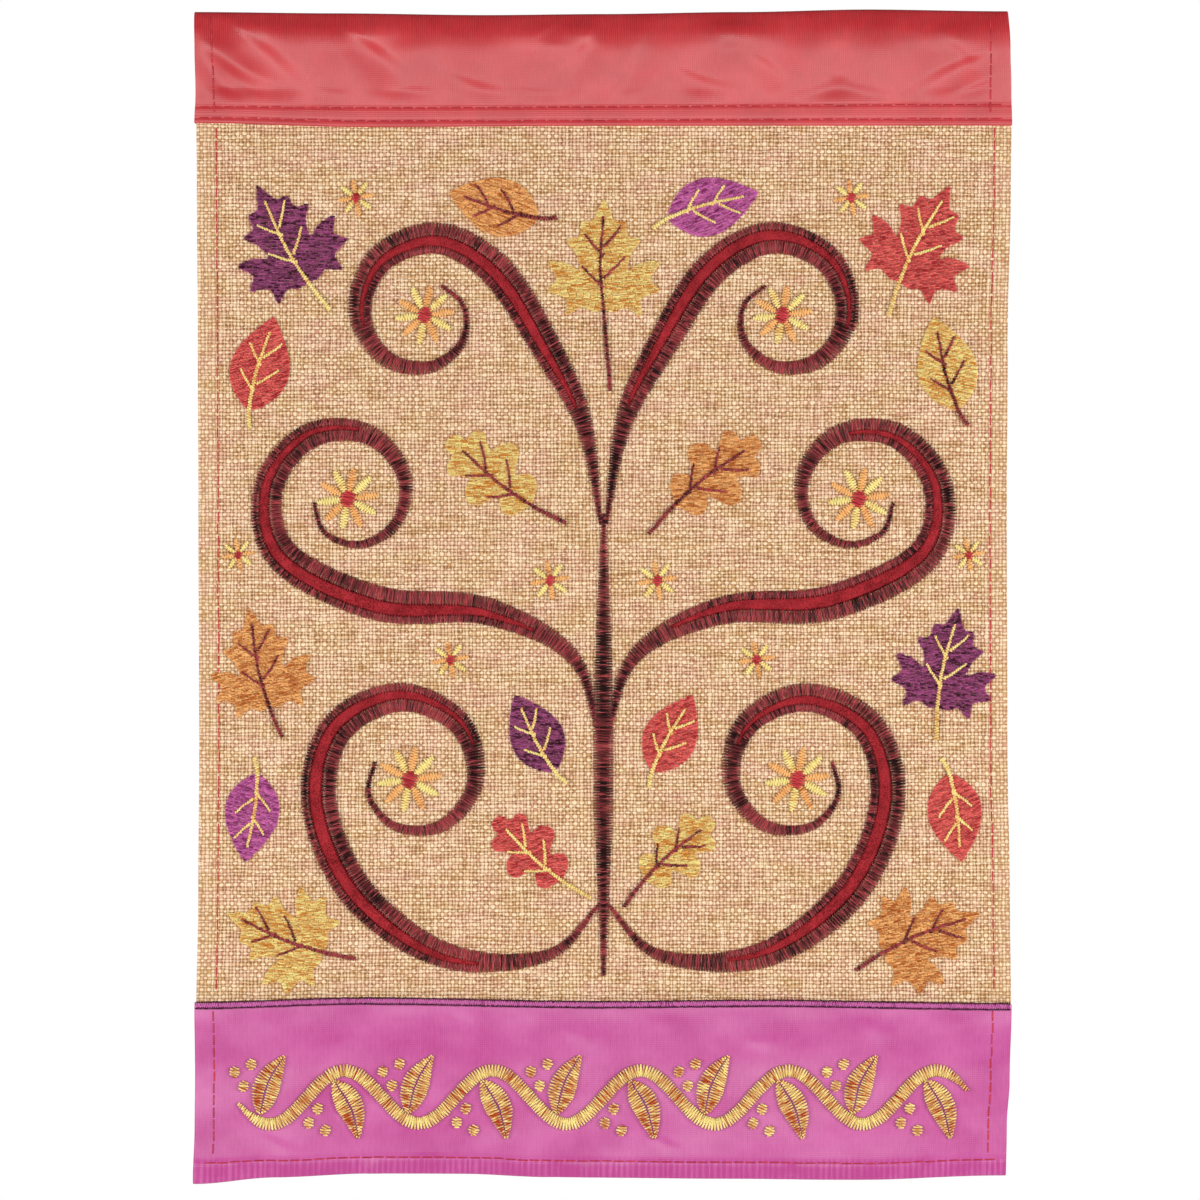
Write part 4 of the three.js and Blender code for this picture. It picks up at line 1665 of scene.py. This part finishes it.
@dataclass
class FieldOrnament:
    """The ornament on the burlap: mirrored scrolls about a stem, with leaves and flowers between them."""

    burlap: BurlapPanel
    scrolls: tuple[Scroll, ...] = (
        Scroll(
            stem=((0.6, -348), (22, -369), (62, -369), (96, -345)),
            centre=(76, -299), radius=37, start=-18, turns=1.12, hand=1, belly=14.5,
        ),
        Scroll(
            stem=((1, -286), (12, -252), (46, -234), (88, -231)),
            centre=(100, -190), radius=34, start=-42, turns=1.1, hand=1, belly=14.0, peak=0.38,
        ),
        Scroll(
            stem=((1, -200), (8, -160), (24, -128)),
            centre=(70, -118), radius=33, start=148, turns=1.08, hand=-1, belly=13.5, peak=0.38,
        ),
    )
    pairs: tuple[tuple, ...] = (
        (LeafKind.LOBED, 126, -86, 62, 43, Dye.CORAL, Dye.PURPLE, 8),
        (LeafKind.OVATE, 43, -75, 16, 37, Dye.ORCHID, Dye.ORANGE, 24),
        (LeafKind.OVATE, 134, -137, 105, 38, Dye.GOLD, Dye.CORAL, -12),
        (LeafKind.OAK, 44, -180, 38, 43, Dye.ORANGE, Dye.GOLD, 5),
        (LeafKind.LOBED, 135, -252, 78, 40, Dye.PURPLE, Dye.ORANGE, -8),
        (LeafKind.OVATE, 27, -282, 62, 34, Dye.CORAL, Dye.PURPLE, 14),
        (LeafKind.OAK, 29, -328, 42, 37, Dye.GOLD, Dye.CORAL, -6),
        (LeafKind.LOBED, 129, -360, 22, 41, Dye.ORANGE, Dye.GOLD, 10),
        (LeafKind.OVATE, 138, -315, -82, 35, Dye.CORAL, Dye.ORCHID, 20),
    )
    daisies: tuple[tuple[float, float, float, int], ...] = (
        (76, -300, 13, 10), (100, -190, 12.5, 10), (70, -118, 12, 10),
        (21, -222, 8, 8), (60, -253, 7.5, 8), (97, -72, 7.5, 8), (143, -212, 6.5, 8),
    )
    stem: tuple[tuple[float, float], ...] = ((0, -377), (0, -310), (0, -250), (0, -196))

    def patch(self, strips: list[tuple[np.ndarray, np.ndarray]]) -> bpy.types.Object:
        """Lays a low domed strip of crimson cloth in each slit.

        The section is an arch, one less the square of the way across, closed by a flat base in the burlap.

        Args:
            strips: Each slit's centreline and width.
        Returns:
            The patches as one piece.
        """
        across = np.array([-1.0, -0.6, 0.0, 0.6, 1.0, 0.0])
        rise = np.array([0.0, 0.3, 0.42, 0.3, 0.0, -0.15])
        points, faces, count = [], [], 0
        for line, width in strips:
            ends = np.minimum(1.0, np.minimum(np.arange(len(line)), np.arange(len(line))[::-1]) / 12.0)
            half = (width / 2 + 0.7) * ends + 0.02
            line, side, half = line[::4], normals(line)[::4], half[::4]
            flat = line[:, None] + side[:, None] * (across * half[:, None])[..., None]
            y = self.burlap.front(flat[..., 0], flat[..., 1]) - rise[None] * np.minimum(1.0, half)[:, None]
            points.append(np.dstack([flat[..., 0], y, flat[..., 1]]).reshape(-1, 3))
            k = np.arange(6)
            row = np.arange(len(line) - 1)[:, None] * 6
            a, b = row + k, row + (k + 1) % 6
            last = 6 * len(line) - 6
            wall = np.stack([a, a + 6, b + 6, b], axis=2).reshape(-1, 4)
            near_end = np.array([[0, 1, 2, 3], [0, 3, 4, 5]])
            far_end = last + np.array([[0, 5, 4, 3], [0, 3, 2, 1]])
            faces += [count + part for part in (wall, near_end, far_end)]
            count += 6 * len(line)
        piece = write_mesh("slit_patches", np.vstack(points), np.vstack(faces), Felt().material())
        return piece

    def build(self) -> list[bpy.types.Object]:
        """Sews the scrolls and their stem, then the leaves, then the flowers.

        Returns:
            One piece for each dye, and the patches.
        """
        spool = Spool(self.burlap.front, "embroidery")
        work = Embroiderer(seed=7)
        strips = [scroll.sew(spool, work, mirror) for scroll in self.scrolls for mirror in (1, -1)]
        path = smooth_path(np.array(self.stem, float))
        half = (2.0 + 6.5 * np.sin(np.pi * np.linspace(0, 1, len(path))) ** 1.2) / 2
        work.column(spool.take(Dye.MAROON), path, half, -half, 0.3, 0.08, middle=0.19)
        Leaf(LeafKind.LOBED, 0, -94, 90, 44, Dye.GOLD, 4, stem=0.72).sew(spool, work)
        for kind, x, z, angle, length, right, left, slant in self.pairs:
            stem = 0.18 if kind is LeafKind.OVATE else 0.32
            Leaf(kind, x, z, angle, length, right, slant, stem).sew(spool, work)
            Leaf(kind, -x, z, 180 - angle, length, left, -slant + 6, stem).sew(spool, work)
        for x, z, radius, petals in self.daisies:
            Daisy(x, z, radius, petals).sew(spool, work)
            Daisy(-x, z, radius, petals).sew(spool, work)
        return [*spool.write(), self.patch([s for s in strips if len(s[0]) > 20])]


@dataclass
class BandOrnament:
    """The ornament on the band: a waving vine in gold satin, with leaves and berries in its hollows."""

    band: FootBand
    level: float = -424.5
    rise: float = 10.5
    wave: float = 58.0
    half_length: float = 143.0
    width: float = 5.4
    hollows: range = range(-5, 5)
    leaf_base: tuple[float, float] = (4.0, 6.5)
    leaf_way: tuple[float, float] = (9.5, 23.0)
    leaf_half: float = 5.2
    berry_radius: float = 2.2
    berries: tuple[tuple[float, float], ...] = ((-6.5, 11.0), (-10.0, 16.5), (-3.5, 19.5))

    def build(self) -> list[bpy.types.Object]:
        """Sews the vine, and a leaf and berries in each hollow.

        Returns:
            One piece for each dye.
        """
        # Strong painted side light: upright strands turn pale gold and level ones deep orange with bright
        # ends.
        spool = Spool(self.band.front, "band_embroidery", shine=0.95)
        work = Embroiderer(seed=19)
        x = np.linspace(-self.half_length, self.half_length, 150)
        path = smooth_path(np.stack([x, self.level + self.rise * np.sin(math.tau * x / self.wave)], axis=1))
        ends = np.clip(np.minimum(np.arange(len(path)), np.arange(len(path))[::-1]) / 60.0, 0.0, 1.0)
        half = self.width / 2 * (0.3 + 0.7 * ease(ends))
        gold = spool.take(Dye.AMBER)
        work.column(gold, path, half, -half, 0.3, 0.12, middle=0.22)
        for k in self.hollows:
            hollow = (k + 0.5) * self.wave / 2
            up = 1.0 if k % 2 else -1.0
            base = np.array([hollow - self.leaf_base[0], self.level - up * self.leaf_base[1]])
            tip = base + np.array([self.leaf_way[0], up * self.leaf_way[1]])
            self.leaf(gold, work, base, tip)
            for step_x, step_z in self.berries:
                work.dot(gold, base + [step_x, up * step_z], self.berry_radius, lift=0.3, shade=0.6)
        return spool.write()

    def leaf(self, heap: Stitches, work: Embroiderer, base: np.ndarray, tip: np.ndarray) -> None:
        """Sews a leaf as two satin columns that meet at its rib.

        Args:
            heap: The stitches to add to.
            work: The embroiderer.
            base: The leaf's base, as X and Z in mm.
            tip: Its tip.
        """
        way = tip - base
        bow = (base + tip) / 2 + 1.8 * np.array([-way[1], way[0]]) / np.linalg.norm(way)
        path = smooth_path(np.array([base, bow, tip]))
        share = np.linspace(0.0, 1.0, len(path))
        half = self.leaf_half * np.sin(np.pi * share**0.8) ** 0.9 + 0.3
        work.column(heap, path, half, np.full(len(path), 0.12), 0.3, 0.1, middle=0.4)
        work.column(heap, path, np.full(len(path), -0.12), -half, 0.3, 0.1, middle=0.4)


@dataclass
class Studio:
    """Plain soft studio light, a pale floor far below, and a camera square to the flag's front."""

    frame_mm: float = 470.4
    centre: tuple[float, float] = (-1.4, -229.7)
    lens: float = 135.0
    sensor: float = 36.0
    floor_drop: float = 900.0
    floor_radius: float = 900.0
    floor_sides: int = 96

    def camera(self) -> None:
        """Stands the camera where the frame's width at the flag is the photograph's."""
        data = bpy.data.cameras.new("camera")
        data.lens, data.sensor_width = self.lens, self.sensor
        camera = add_object("camera", data)
        distance = self.lens * self.frame_mm * MM / self.sensor
        camera.location = (self.centre[0] * MM, -distance, self.centre[1] * MM)
        camera.rotation_euler = (math.pi / 2, 0.0, 0.0)
        bpy.context.scene.camera = camera

    def light(
        self, name: str, place: tuple[float, float, float], wide: float, tall: float, power: float
    ) -> None:
        """Adds a soft light that faces the flag's middle.

        Args:
            name: The light's name.
            place: Its place in metres.
            wide: Its width in metres.
            tall: Its height in metres.
            power: Its power in watts.
        """
        data = bpy.data.lights.new(name, "AREA")
        data.shape, data.size, data.size_y, data.energy = "RECTANGLE", wide, tall, power
        lamp = add_object(name, data)
        aim = np.array([0.0, 0.0, self.centre[1] * MM]) - np.array(place)
        lamp.location = place
        tilt = math.atan2(math.hypot(aim[0], aim[1]), -aim[2])
        lamp.rotation_euler = (tilt, 0.0, math.atan2(-aim[0], aim[1]))

    def build(self) -> None:
        """Sets the camera, the lights, a white world and the floor."""
        scene = bpy.context.scene
        scene.view_settings.view_transform = "Standard"
        self.camera()
        self.light("left_softbox", (-1.5, -0.9, -0.2), 0.7, 0.3, 20.0)
        self.light("right_softbox", (1.5, -0.9, -0.2), 0.7, 0.3, 22.0)
        self.light("front_softbox", (0.0, -2.3, -0.25), 0.7, 0.25, 12.0)
        self.light("back_left_softbox", (-1.4, 1.2, 0.3), 1.0, 1.0, 20.0)
        self.light("back_right_softbox", (1.4, 1.2, 0.1), 1.0, 1.0, 20.0)
        world = bpy.data.worlds.new("white_surround")
        world.use_nodes = True
        tree = world.node_tree
        shown = node(tree, "Background", {"Color": (1.0, 1.0, 1.0, 1.0), "Strength": 1.0})
        lit = node(tree, "Background", {"Color": (1.0, 1.0, 1.0, 1.0), "Strength": 0.16})
        seen = node(tree, "LightPath", output="Is Camera Ray")
        mixed = node(tree, "MixShader", {0: seen, 1: lit, 2: shown})
        tree.links.new(mixed, tree.nodes["World Output"].inputs["Surface"])
        scene.world = world
        ring = np.linspace(0.0, math.tau, self.floor_sides, endpoint=False)
        x, y = self.floor_radius * np.cos(ring), self.floor_radius * np.sin(ring)
        disc = np.stack([x, y, np.full(self.floor_sides, -self.floor_drop)], axis=1)
        mesh = bpy.data.meshes.new("floor")
        mesh.from_pydata(disc * MM, [], [list(range(self.floor_sides))])
        mesh.materials.append(new_material("pale_floor", Base_Color=linear("#e9e7e3"), Roughness=0.8)[0])
        floor = add_object("floor", mesh)
        floor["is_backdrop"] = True


def corners(box: tuple) -> list[list[float]]:
    """A box's two corners as plain lists."""
    return [[float(c) for c in corner] for corner in box]


def main() -> None:
    """Builds the flag round its frame, piece by piece."""
    logging.basicConfig(level=logging.INFO, format="%(name)s: %(message)s")
    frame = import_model()
    log.info("packed nodes: %s", ", ".join(sorted(frame["nodes"])))
    packed = corners(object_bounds())
    Studio().build()
    burlap, band, sleeve = BurlapPanel(), FootBand(), RodSleeve()
    burlap_cloth, sleeve_cloth, band_cloth = burlap.build(), sleeve.build(), band.build()
    edging = SeamEdging(band=band).build()
    sewing = Topstitching(sleeve=sleeve, burlap=burlap, band=band).build()
    ornament = FieldOrnament(burlap).build()
    vine = BandOrnament(band).build()
    [p for p in sewing if "burlap" in p.name]
    [p for p in sewing if "sleeve" in p.name]
    [p for p in sewing if "band" in p.name]
    {"cad": packed, "visual": corners(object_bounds())}


if __name__ == "__main__":
    main()
